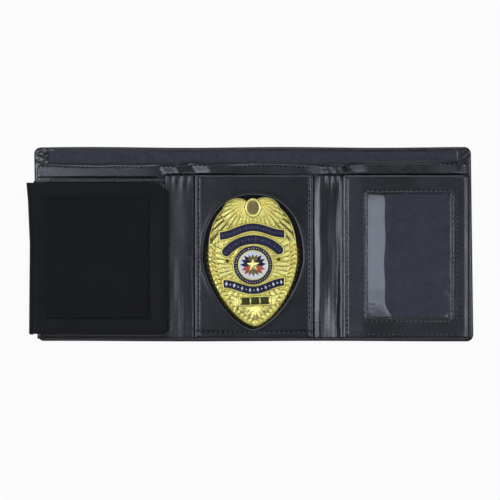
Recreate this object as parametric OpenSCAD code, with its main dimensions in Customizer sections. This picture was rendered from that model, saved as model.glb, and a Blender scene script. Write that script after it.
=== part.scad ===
// Trifold badge wallet, lying open and flat with its inside up.
// X runs along the open wallet, Y towards the mouth of the banknote compartment, Z up.
// The origin is on the underside, in the middle of the cover.

/* [Cover] */
// Length of the open wallet
cover_l = 244.4; // [240:0.2:250]
// Width of the wallet
cover_w = 108; // [106:0.5:112]
// Thickness of the cover leather
cover_t = 1.1; // [0.9:0.05:1.3]
// Corner radius of the cover
cover_corner_r = 3.8; // [3:0.1:6]
// Turned-in edge at the sides and the bottom
hem_w = 8; // [6:0.5:10]
// Turned-in edge along the open top
top_hem_w = 2.4; // [2:0.1:4]
// Thickness of the cloth lining
lining_t = 0.2; // [0.1:0.05:0.3]
// Gap between the lining and the turned-in edge round it
lining_clear = 0.2; // [0.1:0.05:0.5]

/* [Folds and inner wall] */
// Width of each fold between two panels
fold_w = 16.4; // [15.6:0.1:17.2]
// Width of the middle panel
centre_w = 66; // [65:0.2:68]
// Slit between the fold leather and the next panel
seam_clear = 0.1; // [0.05:0.05:0.2]
// Thickness of the inner wall
wall_t = 1.1; // [0.9:0.05:1.3]
// How far the inner wall ends below the cover's top edge
wall_drop = 8; // [6:0.5:9]
// How far the inner wall ends short of the cover's ends
wall_inset = 1.7; // [1.3:0.1:2.2]
// Thickness of the gathered leather on the folds
facing_t = 0.8; // [0.6:0.1:0.9]

/* [Panels] */
// Thickness of the panel leather
panel_t = 1.1; // [0.9:0.05:1.3]
// How far the panels end below the cover's top edge
panel_drop = 15.5; // [14:0.5:16]
// How far the panels end above the cover's bottom edge
panel_lift = 1.5; // [1.2:0.1:2]
// How far the end panels stay inside the cover's ends
panel_inset = 2.2; // [2:0.1:3]
// Width of a panel's turned-under edge
rim_w = 3; // [2:0.1:3]
// Corner radius of the panels
panel_corner_r = 1.6; // [1.2:0.1:2.5]

/* [Badge place] */
// Thickness of the liner behind the badge board
liner_t = 0.5; // [0.3:0.1:0.7]
// Thickness of the badge board
board_t = 1.6; // [1.5:0.05:1.9]
// How far the board ends below the panel's top edge
board_drop = 2.5; // [2:0.5:4]
// Gap between the board and the turned-under edge round it
board_clear = 0.3; // [0.2:0.05:0.5]
// Gap between the badge and the edge of its cut-out
recess_clear = 2.9; // [2.4:0.1:3]

/* [Badge] */
// Half width of the badge
badge_half_w = 25; // [24.6:0.1:25.4]
// Height of the badge above its widest line
badge_up = 32.6; // [31.5:0.1:33]
// Depth of the badge below its widest line
badge_down = 37.7; // [37:0.1:38.5]
// Height of the badge's widest line over the middle of the cover
badge_y = -8; // [-8.5:0.1:-7.5]
// Place of the badge's middle line across the wallet
badge_x = -0.6; // [-1:0.1:0]
// Slight turn of the badge in its cut-out, counter-clockwise, in degrees
badge_turn_angle = 2; // [0:0.5:3]
// Thickness of the badge's base plate
plate_t = 1; // [0.8:0.1:1.2]
// Rise of the stepped shoulder to the badge's field
shoulder_t = 0.9; // [0.6:0.1:1]
// Height of the raised borders on the field
border_t = 0.6; // [0.5:0.05:0.7]
// Width of the raised borders
border_w = 0.6; // [0.5:0.05:0.8]
// Thickness of the enamel inside its border
enamel_t = 0.5; // [0.35:0.05:0.5]
// Gap between the enamel and its border
enamel_clear = 0.05; // [0.03:0.01:0.08]
// Height of a leaf on the scalloped lower edge
scallop_h = 0.6; // [0.4:0.1:0.8]
// Outer radius of the round seal
seal_r = 11.2; // [11:0.1:11.4]
// Radius of the seal's disc
seal_disc_r = 7.8; // [7.4:0.1:8]
// Half width of the oval medallion
medallion_r = 3.8; // [3.4:0.1:4]
// Height of the medallion's ring over the field
medallion_t = 0.9; // [0.7:0.05:1]
// Width of the enamel banners
banner_w = 4.2; // [4:0.1:4.3]
// Width of the number plate
number_w = 16.5; // [15:0.5:17]
// Height of the number plate
number_h = 4; // [3.6:0.1:4.2]

/* [Badge pin] */
// Length of the pin between its hinge and its catch
pin_l = 30; // [26:0.5:34]
// Radius of the pin wire
pin_r = 0.45; // [0.4:0.05:0.5]
// Side of the hinge block and of the catch block
block_w = 3; // [2.6:0.1:3.4]
// Height of the pin over the middle of the cover
pin_y = -4; // [-8:0.5:0]
// Gap round the pin and its blocks in the board
pin_clear = 0.25; // [0.2:0.05:0.3]

/* [ID window] */
// Leather between the window and the fold
window_fold_margin = 13.8; // [13:0.1:14.5]
// Leather between the window and the panel's outer edge
window_end_margin = 11.2; // [10.5:0.1:12]
// Leather below the window
window_low_margin = 11.5; // [10.5:0.1:12]
// Leather above the window
window_top_margin = 10.4; // [9.5:0.1:11]
// Corner radius of the window
window_r = 1.2; // [0.8:0.1:2]
// Thickness of the clear vinyl and of the sheet behind it
vinyl_t = 0.3; // [0.25:0.05:0.35]
// How far the vinyl reaches under the panel all round
vinyl_lap = 4.5; // [3.5:0.1:5]

/* [Card pockets] */
// Thickness of one pocket
pocket_t = 0.8; // [0.6:0.05:0.9]
// How far the first pocket ends below the cover's top edge
pocket_drop = 17.5; // [17:0.5:19]
// Step from one pocket's top edge to the next
pocket_step = 10.5; // [8:0.5:12]
// Width of the strip that the ID flap is hinged on
strip_w = 8.6; // [6:0.2:10]

/* [ID flap] */
// Length of the flap from its hinge
flap_l = 74.8; // [74.4:0.1:75]
// Height of the flap
flap_h = 83.8; // [83:0.1:85]
// How far the flap ends below the first pocket's top edge
flap_drop = 2.4; // [1.5:0.1:3]
// Air between the flap and the pockets
flap_gap = 0.3; // [0.2:0.05:0.4]
// Distance of the hinge line outside the cover's end
flap_out = 2.3; // [2.2:0.05:2.6]
// Radius of the rolled hinge edge
flap_roll_r = 1.9; // [1.7:0.05:2]
// Thickness of the window frame on the flap's hidden side
flap_frame_t = 0.8; // [0.6:0.05:0.9]
// Thickness of the flap's back leather
flap_back_t = 0.8; // [0.7:0.05:0.9]
// Height of the flap's turned-in border over the back leather
flap_border_t = 0.5; // [0.3:0.05:0.5]
// Width of the flap's turned-in border
flap_border_w = 8; // [6:0.5:10]
// Thickness of the cloth in that border
flap_lining_t = 0.25; // [0.15:0.05:0.3]
// Cut off the flap's free upper corner, along the flap
flap_clip_x = 5; // [3:0.5:6]
// Cut off the flap's free upper corner, across the flap
flap_clip_y = 4; // [3:0.5:6]
// Radius of the flap's free lower corner
flap_corner_r = 4; // [3:0.5:6]

/* [Hidden] */

// Colours
leather = "#1c1d22";
matte_leather = "#131418";
cloth = "#24252b";
clear_sheet = "#8b94a6";
gold = "#d8b13c";
dark_gold = "#8a7334";
blue_enamel = "#26246b";
white_enamel = "#e8e8ec";
steel = "#b9bcc2";

// Overrun of every cut, and steps of an edge's and a corner's rounding
over = 1;
edge_steps = 6;
corner_steps = 6;
round_fn = 64;

// Places along the wallet
end_x = cover_l / 2;
centre_x = centre_w / 2;
side_x = centre_x + fold_w;
wall_x = end_x - wall_inset;
panel_x = end_x - panel_inset;

// Places across the wallet
edge_y = cover_w / 2;
hem_y = -edge_y + hem_w;
wall_top_y = edge_y - wall_drop;
panel_top_y = edge_y - panel_drop;
panel_low_y = -edge_y + panel_lift;

// Heights of the layers
cover_z = 2 * cover_t;
face_z = cover_z + wall_t;
board_z = face_z + liner_t;
badge_z = board_z + board_t;
window_z = face_z + 2 * vinyl_t;
flap_z = face_z + 3 * pocket_t + flap_gap;
flap_window_z = flap_z + flap_frame_t;
flap_back_z = flap_window_z + vinyl_t;
flap_lining_z = flap_back_z + flap_back_t;

// Section of a sheet from a to b: an end that is rolled is a half circle as thick as the sheet
function sheet_section(a, b, t, roll) = concat(
    roll[0]
        ? [for (i = [0:edge_steps]) let (w = 90 + 180 * i / edge_steps)
            [a + t / 2 + t / 2 * cos(w), t / 2 + t / 2 * sin(w)]]
        : [[a, t], [a, 0]],
    roll[1]
        ? [for (i = [0:edge_steps]) let (w = -90 + 180 * i / edge_steps)
            [b - t / 2 + t / 2 * cos(w), t / 2 + t / 2 * sin(w)]]
        : [[b, 0], [b, t]]);

// One rounded corner of an outline, as points from angle w0 on, counter-clockwise
function corner(x, y, r, w0) = [for (i = [0:corner_steps]) let (w = w0 + 90 * i / corner_steps)
    [x + r * cos(w), y + r * sin(w)]];

function rounded_outline(x, y, r) = concat(
    corner(x[1] - r, y[1] - r, r, 0),
    corner(x[0] + r, y[1] - r, r, 90),
    corner(x[0] + r, y[0] + r, r, 180),
    corner(x[1] - r, y[0] + r, r, 270));

// A flat sheet over the ranges x and y, its chosen edges rolled and its corners rounded
module sheet(x, y, z, t, roll_x = [false, false], roll_y = [false, false], r = 0) {
    translate([0, 0, z])
        intersection() {
            translate([x[0], 0, 0])
                rotate([90, 0, 90])
                    linear_extrude(x[1] - x[0])
                        polygon(sheet_section(y[0], y[1], t, roll_y));
            translate([0, y[1], 0])
                rotate([90, 0, 0])
                    linear_extrude(y[1] - y[0])
                        polygon(sheet_section(x[0], x[1], t, roll_x));
            if (r > 0)
                translate([0, 0, -over])
                    linear_extrude(t + 2 * over)
                        polygon(rounded_outline(x, y, r));
        }
}

// A stretch of the whole wallet's cover, cut out of it between two places along it
module between(x) {
    intersection() {
        children();
        translate([x[0], -edge_y - over, -over])
            cube([x[1] - x[0], cover_w + 2 * over, face_z + 2 * over]);
    }
}

// The cover with its edges turned in, which leaves the compartment open at the top
module whole_cover() {
    difference() {
        sheet([-end_x, end_x], [-edge_y, edge_y], 0, cover_z, [true, true], [true, true],
            cover_corner_r);
        translate([-end_x + hem_w, hem_y, cover_t])
            cube([cover_l - 2 * hem_w, cover_w - hem_w - top_hem_w, cover_t + over]);
    }
}

module whole_lining() {
    translate([-end_x + hem_w + lining_clear, hem_y + lining_clear, cover_t])
        cube([cover_l - 2 * hem_w - 2 * lining_clear,
            cover_w - hem_w - top_hem_w - 2 * lining_clear, lining_t]);
}

module whole_wall() {
    sheet([-wall_x, wall_x], [-edge_y + cover_t, wall_top_y], cover_z, wall_t,
        [true, true], [true, true], cover_corner_r);
}

// The three thirds and the two folds share their cuts
centre_span = [-centre_x, centre_x];
left_fold_span = [-side_x + seam_clear, -centre_x];
right_fold_span = [centre_x, side_x - seam_clear];
left_span = [-end_x - over, -side_x];
right_span = [side_x, end_x + over];

module cover_centre() { color(leather) between(centre_span) whole_cover(); }
module left_fold_cover() { color(leather) between(left_fold_span) whole_cover(); }
module right_fold_cover() { color(leather) between(right_fold_span) whole_cover(); }
module cover_left() { color(leather) between(left_span) whole_cover(); }
module cover_right() { color(leather) between(right_span) whole_cover(); }

module lining_centre() { color(cloth) between(centre_span) whole_lining(); }
module left_fold_lining() { color(cloth) between(left_fold_span) whole_lining(); }
module right_fold_lining() { color(cloth) between(right_fold_span) whole_lining(); }
module lining_left() { color(cloth) between(left_span) whole_lining(); }
module lining_right() { color(cloth) between(right_span) whole_lining(); }

module wall_centre() { color(leather) between(centre_span) whole_wall(); }
module left_fold_wall() { color(leather) between(left_fold_span) whole_wall(); }
module right_fold_wall() { color(leather) between(right_fold_span) whole_wall(); }
module wall_left() { color(leather) between(left_span) whole_wall(); }
module wall_right() { color(leather) between(right_span) whole_wall(); }

// Gathered leather on a fold, sewn in at both panels' edges
module fold_facing(x) {
    color(leather)
        sheet(x, [panel_low_y, panel_top_y], face_z, facing_t, [false, false], [true, true]);
}

module left_fold_facing() { fold_facing([-side_x + seam_clear, -centre_x - seam_clear]); }
module right_fold_facing() { fold_facing([centre_x + seam_clear, side_x - seam_clear]); }

// A panel lies on three turned-under edges and is open at the top, where a card goes in
module panel(x, z) {
    sheet(x, [panel_low_y, panel_top_y], z, panel_t, [true, true], [true, true], panel_corner_r);
}

module panel_rim(x, low_z, high_z) {
    inset = panel_t / 2;
    difference() {
        translate([x[0] + inset, panel_low_y + inset, low_z])
            cube([x[1] - x[0] - 2 * inset, panel_top_y - panel_low_y - 2 * inset - panel_corner_r,
                high_z - low_z]);
        translate([x[0] + rim_w, panel_low_y + rim_w, low_z - over])
            cube([x[1] - x[0] - 2 * rim_w, panel_top_y - panel_low_y, high_z - low_z + 2 * over]);
    }
}

// Outline of the badge about its own middle, grown all round by g, without its scallops.
// The upper power makes the shoulders fuller, more so on the cut-out round the badge.
badge_power_up = 2.3;
recess_power_up = 2.45;
badge_power_down = 1.7;
function signed_power(s, p) = sign(s) * pow(abs(s), p);
function badge_point(w, g, power_up = badge_power_up) =
    let (up = w <= 180)
    let (p = 2 / (up ? power_up : badge_power_down))
    let (h = (up ? badge_up : badge_down) + g)
    [(badge_half_w + g) * signed_power(cos(w), p), h * signed_power(sin(w), p)];

outline_steps = 36;
function badge_outline(g, power_up = badge_power_up) =
    [for (i = [0:2 * outline_steps - 1]) badge_point(180 * i / outline_steps, g, power_up)];

// The lower edge is a row of small leaves
scallops = 31;
scallop_steps = 4;
function scalloped_outline(g) = concat(
    [for (i = [0:outline_steps - 1]) badge_point(180 * i / outline_steps, g)],
    [for (i = [0:scallops * scallop_steps - 1])
        badge_point(180 + 180 * i / (scallops * scallop_steps),
            g + scallop_h * abs(sin(180 * (i % scallop_steps) / scallop_steps)))]);

// Two wing shoulders and the medallion's ring stand over the badge's top
wing_share = 0.32;
medallion_x = 1;
medallion_tall_share = 1.2;
medallion_rise = 0.8;
medallion_y = badge_up + medallion_rise - border_w - medallion_r * medallion_tall_share;
shoulder_r = 10;
shoulder_rise = 1.3;
oval_steps = 48;
module medallion_oval(g) {
    translate([medallion_x, medallion_y])
        polygon([for (i = [0:oval_steps - 1]) let (w = 360 * i / oval_steps)
            [(medallion_r + g) * cos(w), (medallion_r * medallion_tall_share + g) * sin(w)]]);
}
module badge_top_lobes(g) {
    for (side = [-1, 1])
        translate([side * wing_share * badge_half_w, badge_up + shoulder_rise - shoulder_r])
            circle(r = shoulder_r + g, $fn = round_fn);
    medallion_oval(border_w + g);
}

// The shoulder climbs to the level field in steps as wide as a border
shoulder_steps = 3;
module badge_level(step, g = 0) {
    polygon(badge_outline(g - step * border_w));
    badge_top_lobes(g - (step - 1) * border_w);
}

module at_badge() {
    translate([badge_x, badge_y, badge_z])
        rotate(badge_turn_angle)
            children();
}

// Heights over the badge's back
field_z = plate_t + shoulder_t;

// A ribbon that curves from its middle to level ends: its line is half a wave
ribbon_steps = 16;
function ribbon_outline(half, mid_v, end_v, w) = concat(
    [for (i = [-ribbon_steps:ribbon_steps]) let (s = i / ribbon_steps)
        [half * s, end_v + (mid_v - end_v) * (1 + cos(180 * s)) / 2 + w / 2]],
    [for (i = [-ribbon_steps:ribbon_steps]) let (s = -i / ribbon_steps)
        [half * s, end_v + (mid_v - end_v) * (1 + cos(180 * s)) / 2 - w / 2]]);

// A round-ended ribbon on an arc of radius r whose top is at mid_v
cap_steps = 6;
function arc_ribbon_outline(r, mid_v, reach, w) = concat(
    [for (i = [0:ribbon_steps]) let (a = 90 + reach - 2 * reach * i / ribbon_steps)
        [(r + w / 2) * cos(a), mid_v - r + (r + w / 2) * sin(a)]],
    [for (i = [1:cap_steps - 1]) let (c = 90 - reach, a = c - 180 * i / cap_steps)
        [r * cos(c) + w / 2 * cos(a), mid_v - r + r * sin(c) + w / 2 * sin(a)]],
    [for (i = [0:ribbon_steps]) let (a = 90 - reach + 2 * reach * i / ribbon_steps)
        [(r - w / 2) * cos(a), mid_v - r + (r - w / 2) * sin(a)]],
    [for (i = [1:cap_steps - 1]) let (c = 90 + reach, a = c - 180 - 180 * i / cap_steps)
        [r * cos(c) + w / 2 * cos(a), mid_v - r + r * sin(c) + w / 2 * sin(a)]]);

// Places of the badge's ornament, about its widest line
top_half = 17.9;
top_mid_v = 17.4;
top_end_v = 13.2;
middle_r = 19.8;
middle_mid_v = 10.6;
middle_reach_angle = 47;
middle_extra_w = 0.7;
lower_half = 16.8;
lower_mid_v = -17.5;
lower_end_v = -13.4;
seal_x = 0;
seal_v = -3.6;
number_x = 0.4;
number_v = -23.4;

// Each banner's outline, grown by g, is the enamel or an edge of its raised border
module top_banner(g) {
    polygon(ribbon_outline(top_half + g, top_mid_v, top_end_v, banner_w + 2 * g));
}
module middle_banner(g) {
    polygon(arc_ribbon_outline(middle_r, middle_mid_v, middle_reach_angle,
        banner_w + middle_extra_w + 2 * g));
}
module lower_banner(g) {
    polygon(ribbon_outline(lower_half + g, lower_mid_v, lower_end_v, banner_w + 2 * g));
}
module seal_disc(r) {
    translate([seal_x, seal_v])
        circle(r = r, $fn = round_fn);
}
module seal_ring(g) {
    difference() {
        seal_disc(seal_r - border_w + g);
        seal_disc(seal_disc_r + border_w - g);
    }
}
module number_field(g) {
    translate([number_x - number_w / 2 - g, number_v - number_h / 2 - g])
        square([number_w + 2 * g, number_h + 2 * g]);
}

// A leaf or feather of length l and width w, from the origin along +X
leaf_steps = 8;
module leaf(l, w) {
    polygon(concat(
        [for (i = [0:leaf_steps]) let (s = i / leaf_steps) [l * s, -w / 2 * sin(180 * s)]],
        [for (i = [1:leaf_steps - 1]) let (s = 1 - i / leaf_steps) [l * s, w / 2 * sin(180 * s)]]));
}

// Rays beside the seal
ray_t = 0.3;
ray_l = 7.5;
ray_w = 1.1;
ray_count = 7;
ray_spread_angle = 58;
module rays() {
    for (side = [0, 180], i = [0:ray_count - 1])
        translate([seal_x, seal_v])
            rotate(side + (i - (ray_count - 1) / 2) * ray_spread_angle / (ray_count - 1))
                translate([seal_r - border_w, 0])
                    leaf(ray_l, ray_w);
}

// Leaves that frame the number plate, and three at the badge's tip
sprig_l = 5.5;
sprig_w = 2;
sprig_turn_angle = 32;
tip_v = -27.2;
tip_l = 6.5;
tip_turn_angle = 42;
module sprigs() {
    for (side = [0, 180], turn = [-sprig_turn_angle, sprig_turn_angle])
        translate([number_x, number_v])
            rotate(side)
                translate([number_w / 2 + border_w / 2, 0])
                    rotate(turn)
                        leaf(sprig_l, sprig_w);
    for (turn = [-tip_turn_angle, 0, tip_turn_angle])
        translate([0, tip_v])
            rotate(turn - 90)
                leaf(tip_l, sprig_w);
}

// Gold borders that stand on the field, each round its enamel
module borders() {
    difference() {
        union() {
            top_banner(border_w);
            middle_banner(border_w);
            lower_banner(border_w);
            seal_disc(seal_r);
            number_field(border_w);
        }
        top_banner(enamel_clear);
        middle_banner(enamel_clear);
        lower_banner(enamel_clear);
        seal_ring(enamel_clear);
        seal_disc(seal_disc_r + enamel_clear);
        number_field(enamel_clear);
    }
}

module badge_shield() {
    color(gold)
        at_badge() {
            linear_extrude(plate_t) {
                polygon(scalloped_outline(0));
                badge_top_lobes(0);
            }
            for (i = [1:shoulder_steps])
                translate([0, 0, plate_t + (i - 1) * shoulder_t / shoulder_steps])
                    linear_extrude(shoulder_t / shoulder_steps)
                        badge_level(i);
            translate([0, 0, field_z])
                linear_extrude(border_t)
                    borders();
            translate([0, 0, field_z])
                linear_extrude(ray_t)
                    difference() {
                        union() {
                            rays();
                            sprigs();
                        }
                        middle_banner(enamel_clear);
                        lower_banner(enamel_clear);
                        number_field(enamel_clear);
                    }
        }
}

// The enamel lies on the field, a little lower than the gold round it
module enamel() {
    at_badge()
        translate([0, 0, field_z])
            linear_extrude(enamel_t)
                children();
}
module top_banner_enamel() { color(blue_enamel) enamel() top_banner(0); }
module middle_banner_enamel() { color(blue_enamel) enamel() middle_banner(0); }
module lower_banner_enamel() { color(blue_enamel) enamel() lower_banner(0); }
module seal_ring_enamel() { color(blue_enamel) enamel() seal_ring(0); }
module seal_disc_enamel() { color(white_enamel) enamel() seal_disc(seal_disc_r); }
module number_plate() { color(dark_gold) enamel() number_field(0); }

// A five-pointed star on the seal's disc
star_points = 5;
star_share = 0.72;
star_waist_share = 0.4;
emblem_t = 0.3;
module seal_emblem() {
    color(blue_enamel)
        at_badge()
            translate([seal_x, seal_v, field_z + enamel_t])
                linear_extrude(emblem_t)
                    polygon([for (i = [0:2 * star_points - 1])
                        let (r = seal_disc_r * star_share * (i % 2 == 0 ? 1 : star_waist_share))
                        let (w = 90 + 180 * i / star_points)
                        [r * cos(w), r * sin(w)]]);
}

// Two wings of layered feathers spread from the medallion over the top of the field
feathers = 6;
feather_w = 3.6;
feather_t = 0.6;
wing_root_v = 22.6;
wing_first_angle = 12;
wing_last_angle = 98;
feather_long = 17.2;
feather_short_share = 0.42;
module wing(side) {
    for (i = [0:feathers - 1])
        let (s = i / (feathers - 1))
        let (w = -wing_first_angle + (wing_first_angle + wing_last_angle) * s)
        translate([medallion_x + side * medallion_r, wing_root_v])
            rotate(side > 0 ? w : 180 - w)
                leaf(feather_long * (1 - (1 - feather_short_share) * s), feather_w);
}
module badge_wings() {
    color(gold)
        at_badge()
            translate([0, 0, field_z])
                linear_extrude(feather_t)
                    difference() {
                        intersection() {
                            badge_level(shoulder_steps, -enamel_clear);
                            union() {
                                wing(-1);
                                wing(1);
                            }
                        }
                        medallion_oval(border_w + enamel_clear);
                        top_banner(border_w + enamel_clear);
                    }
}

// An oval medallion in a raised ring
medallion_dip_share = 0.5;
module badge_medallion() {
    color(dark_gold)
        at_badge()
            translate([0, 0, field_z])
                difference() {
                    linear_extrude(medallion_t)
                        medallion_oval(border_w);
                    translate([0, 0, medallion_t * (1 - medallion_dip_share)])
                        linear_extrude(medallion_t)
                            medallion_oval(0);
                }
}

// Liner of the pocket behind the badge board
module pocket_liner() {
    color(cloth)
        sheet([-centre_x, centre_x], [panel_low_y, panel_top_y], face_z, liner_t);
}

// Places of the badge's pin, whose wire runs behind a bridge of the board
block_x = pin_l / 2 + block_w / 2;
pin_z = board_z + pin_clear + pin_r;
module badge_backing() {
    board_x = centre_x - rim_w - board_clear;
    board_y = [panel_low_y + rim_w + board_clear, panel_top_y - board_drop];
    color(leather)
        difference() {
            translate([-board_x, board_y[0], board_z])
                cube([2 * board_x, board_y[1] - board_y[0], board_t]);
            for (side = [-1, 1])
                translate([badge_x + side * block_x, pin_y, board_z - over])
                    translate([-block_w / 2 - pin_clear, -block_w / 2 - pin_clear, 0])
                        cube([block_w + 2 * pin_clear, block_w + 2 * pin_clear, board_t + 2 * over]);
            translate([badge_x - block_x, pin_y - pin_r - pin_clear, board_z - over])
                cube([2 * block_x, 2 * (pin_r + pin_clear), over + 2 * (pin_r + pin_clear)]);
        }
}

module pin_block(side) {
    translate([badge_x + side * block_x - block_w / 2, pin_y - block_w / 2, board_z + pin_clear])
        cube([block_w, block_w, board_t - pin_clear]);
}
module badge_pin_hinge() { color(steel) pin_block(-1); }
module badge_pin() {
    color(steel)
        translate([badge_x - pin_l / 2, pin_y, pin_z])
            rotate([0, 90, 0])
                cylinder(r = pin_r, h = pin_l, $fn = round_fn);
}

// The catch is open towards the wallet's bottom edge
catch_share = 0.5;
module badge_pin_catch() {
    color(steel)
        difference() {
            pin_block(1);
            translate([badge_x + block_x + block_w * (catch_share - 1 / 2), pin_y - block_w,
                pin_z - pin_r])
                cube([block_w, block_w + pin_r, 2 * pin_r]);
        }
}

// Leather panel with the badge's teardrop cut-out
module badge_panel() {
    x = [-centre_x, centre_x];
    color(leather)
        difference() {
            union() {
                panel(x, badge_z);
                panel_rim(x, board_z, badge_z);
            }
            translate([badge_x, badge_y, badge_z - over])
                linear_extrude(panel_t + 2 * over)
                    polygon(badge_outline(recess_clear, recess_power_up));
        }
}

// ID window on the right third
window_x = [side_x + window_fold_margin, panel_x - window_end_margin];
window_y = [panel_low_y + window_low_margin, panel_top_y - window_top_margin];
module window_sheet(z) {
    sheet([window_x[0] - vinyl_lap, window_x[1] + vinyl_lap],
        [window_y[0] - vinyl_lap, window_y[1] + vinyl_lap], z, vinyl_t);
}
module window_backing() { color(cloth) window_sheet(face_z); }
module window_vinyl() { color(clear_sheet, 0.5) window_sheet(face_z + vinyl_t); }
module window_panel() {
    x = [side_x, panel_x];
    color(leather)
        difference() {
            union() {
                panel(x, window_z);
                panel_rim(x, face_z, window_z);
            }
            translate([0, 0, window_z - over])
                linear_extrude(panel_t + 2 * over)
                    polygon(rounded_outline(window_x, window_y, window_r));
        }
}

// Card pockets on the left third, each one step lower and one layer higher than the last
flap_x = -end_x - flap_out;
strip_x = [flap_x + flap_roll_r, -end_x + strip_w];
pocket_top_y = edge_y - pocket_drop;
module card_pocket(i) {
    low_x = i == 0 ? strip_x[1] : -panel_x;
    color(leather)
        sheet([low_x, -side_x], [panel_low_y, pocket_top_y - i * pocket_step],
            face_z + i * pocket_t, pocket_t, [false, false], [false, true]);
}
module card_pocket_back() { card_pocket(0); }
module card_pocket_middle() { card_pocket(1); }
module card_pocket_front() { card_pocket(2); }
module flap_hinge_strip() {
    color(leather)
        sheet(strip_x, [panel_low_y, pocket_top_y],
            face_z, pocket_t, [true, false]);
}

// The ID flap, its hinge line and the margin round its hidden window
flap_window_in = 9;
flap_y = [pocket_top_y - flap_drop - flap_h, pocket_top_y - flap_drop];
flap_start_x = flap_x + flap_roll_r / 2;
flap_roll_z = flap_z - flap_gap;
function flap_outline(low_x, g) =
    let (high_x = flap_x + flap_l - g, low_y = flap_y[0] + g, high_y = flap_y[1] - g)
    concat(
        [[low_x, high_y], [low_x, low_y]],
        corner(high_x - flap_corner_r, low_y + flap_corner_r, flap_corner_r, 270),
        [[high_x, high_y - flap_clip_y], [high_x - flap_clip_x, high_y]]);

module flap_hinge_roll() {
    color(leather)
        difference() {
            translate([flap_x, flap_y[0], flap_roll_z])
                rotate([-90, 0, 0])
                    cylinder(r = flap_roll_r, h = flap_h, $fn = round_fn);
            translate([flap_start_x, flap_y[0] - over, flap_z])
                cube([flap_roll_r, flap_h + 2 * over, flap_roll_r]);
        }
}
module flap_frame() {
    color(leather)
        translate([0, 0, flap_z])
            linear_extrude(flap_frame_t)
                difference() {
                    polygon(flap_outline(flap_start_x, 0));
                    polygon(rounded_outline(
                        [flap_x + flap_window_in, flap_x + flap_l - flap_window_in],
                        [flap_y[0] + flap_window_in, flap_y[1] - flap_window_in], window_r));
                }
}
module flap_window() {
    color(clear_sheet, 0.5)
        translate([0, 0, flap_window_z])
            linear_extrude(vinyl_t)
                polygon(flap_outline(flap_start_x, seam_clear));
}
module flap_back() {
    color(matte_leather)
        difference() {
            translate([0, 0, flap_back_z])
                linear_extrude(flap_back_t + flap_border_t)
                    polygon(flap_outline(flap_start_x, 0));
            translate([flap_x + flap_border_w, flap_y[0] + flap_border_w, flap_lining_z])
                cube([flap_l - 2 * flap_border_w, flap_h - 2 * flap_border_w, flap_border_t + over]);
        }
}
module flap_lining() {
    color(cloth)
        translate([flap_x + flap_border_w + lining_clear, flap_y[0] + flap_border_w + lining_clear,
            flap_lining_z])
            cube([flap_l - 2 * flap_border_w - 2 * lining_clear,
                flap_h - 2 * flap_border_w - 2 * lining_clear, flap_lining_t]);
}

cover_centre();
left_fold_cover();
right_fold_cover();
lining_centre();
left_fold_lining();
right_fold_lining();
wall_centre();
left_fold_wall();
right_fold_wall();
left_fold_facing();
right_fold_facing();
pocket_liner();
badge_backing();
badge_panel();
badge_shield();
badge_wings();
badge_medallion();
top_banner_enamel();
middle_banner_enamel();
lower_banner_enamel();
seal_ring_enamel();
seal_disc_enamel();
seal_emblem();
number_plate();
badge_pin_hinge();
badge_pin();
badge_pin_catch();
cover_left();
lining_left();
wall_left();
flap_hinge_strip();
card_pocket_back();
card_pocket_middle();
card_pocket_front();
flap_hinge_roll();
flap_back();
flap_lining();
flap_window();
flap_frame();
cover_right();
lining_right();
wall_right();
window_backing();
window_vinyl();
window_panel();
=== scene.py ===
"""Trifold badge wallet, lying open with its inside up: leather, cloth, clear vinyl and a struck gold badge.
Lengths are in millimetres, and the objects are made in metres."""

import math

import bpy
import numpy as np
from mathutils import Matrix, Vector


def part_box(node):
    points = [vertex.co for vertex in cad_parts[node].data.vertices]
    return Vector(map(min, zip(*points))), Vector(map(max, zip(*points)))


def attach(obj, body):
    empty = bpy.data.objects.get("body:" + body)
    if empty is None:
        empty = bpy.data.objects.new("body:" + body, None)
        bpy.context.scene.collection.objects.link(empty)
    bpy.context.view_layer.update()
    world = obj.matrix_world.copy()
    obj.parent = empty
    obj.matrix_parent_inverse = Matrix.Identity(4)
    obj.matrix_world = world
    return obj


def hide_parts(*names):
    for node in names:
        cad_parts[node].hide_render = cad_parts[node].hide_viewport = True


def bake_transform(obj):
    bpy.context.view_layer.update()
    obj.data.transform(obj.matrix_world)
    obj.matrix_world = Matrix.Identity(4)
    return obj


MM = 0.001
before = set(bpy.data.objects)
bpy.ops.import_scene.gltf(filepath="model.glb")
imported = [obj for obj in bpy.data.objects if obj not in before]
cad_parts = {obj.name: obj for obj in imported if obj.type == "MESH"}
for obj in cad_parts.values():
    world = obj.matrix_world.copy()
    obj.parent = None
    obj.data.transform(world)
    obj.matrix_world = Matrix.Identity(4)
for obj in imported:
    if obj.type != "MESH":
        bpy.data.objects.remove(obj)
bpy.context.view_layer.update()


def span(node):
    """Lowest and highest corner of a CAD node at rest."""
    low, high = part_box(node)
    return np.array(low) / MM, np.array(high) / MM


# Places taken from the frame

COVER_LOW, COVER_HIGH = span("cover_left")[0], span("cover_right")[1]
WALL_LOW, WALL_HIGH = span("wall_left")[0], span("wall_right")[1]
LINING_LOW, LINING_HIGH = span("lining_left")[0], span("lining_right")[1]
PANEL_LOW, PANEL_HIGH = span("badge_panel")
WINDOW_LOW, WINDOW_HIGH = span("window_panel")
VINYL_LOW, VINYL_HIGH = span("window_vinyl")
FLAP_LOW, FLAP_HIGH = span("flap_back")
ROLL_LOW, ROLL_HIGH = span("flap_hinge_roll")
ROLL_Z = (ROLL_LOW[2] + ROLL_HIGH[2]) / 2
FOLD_IN, FOLD_OUT = PANEL_HIGH[0], WINDOW_LOW[0]
PANEL_TOP_Y, PANEL_LOW_Y, WALL_TOP_Y = PANEL_HIGH[1], PANEL_LOW[1], WALL_HIGH[1]
BADGE_X, BADGE_Y, BADGE_Z = -0.6, -8.0, span("badge_shield")[0][2]

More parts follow.
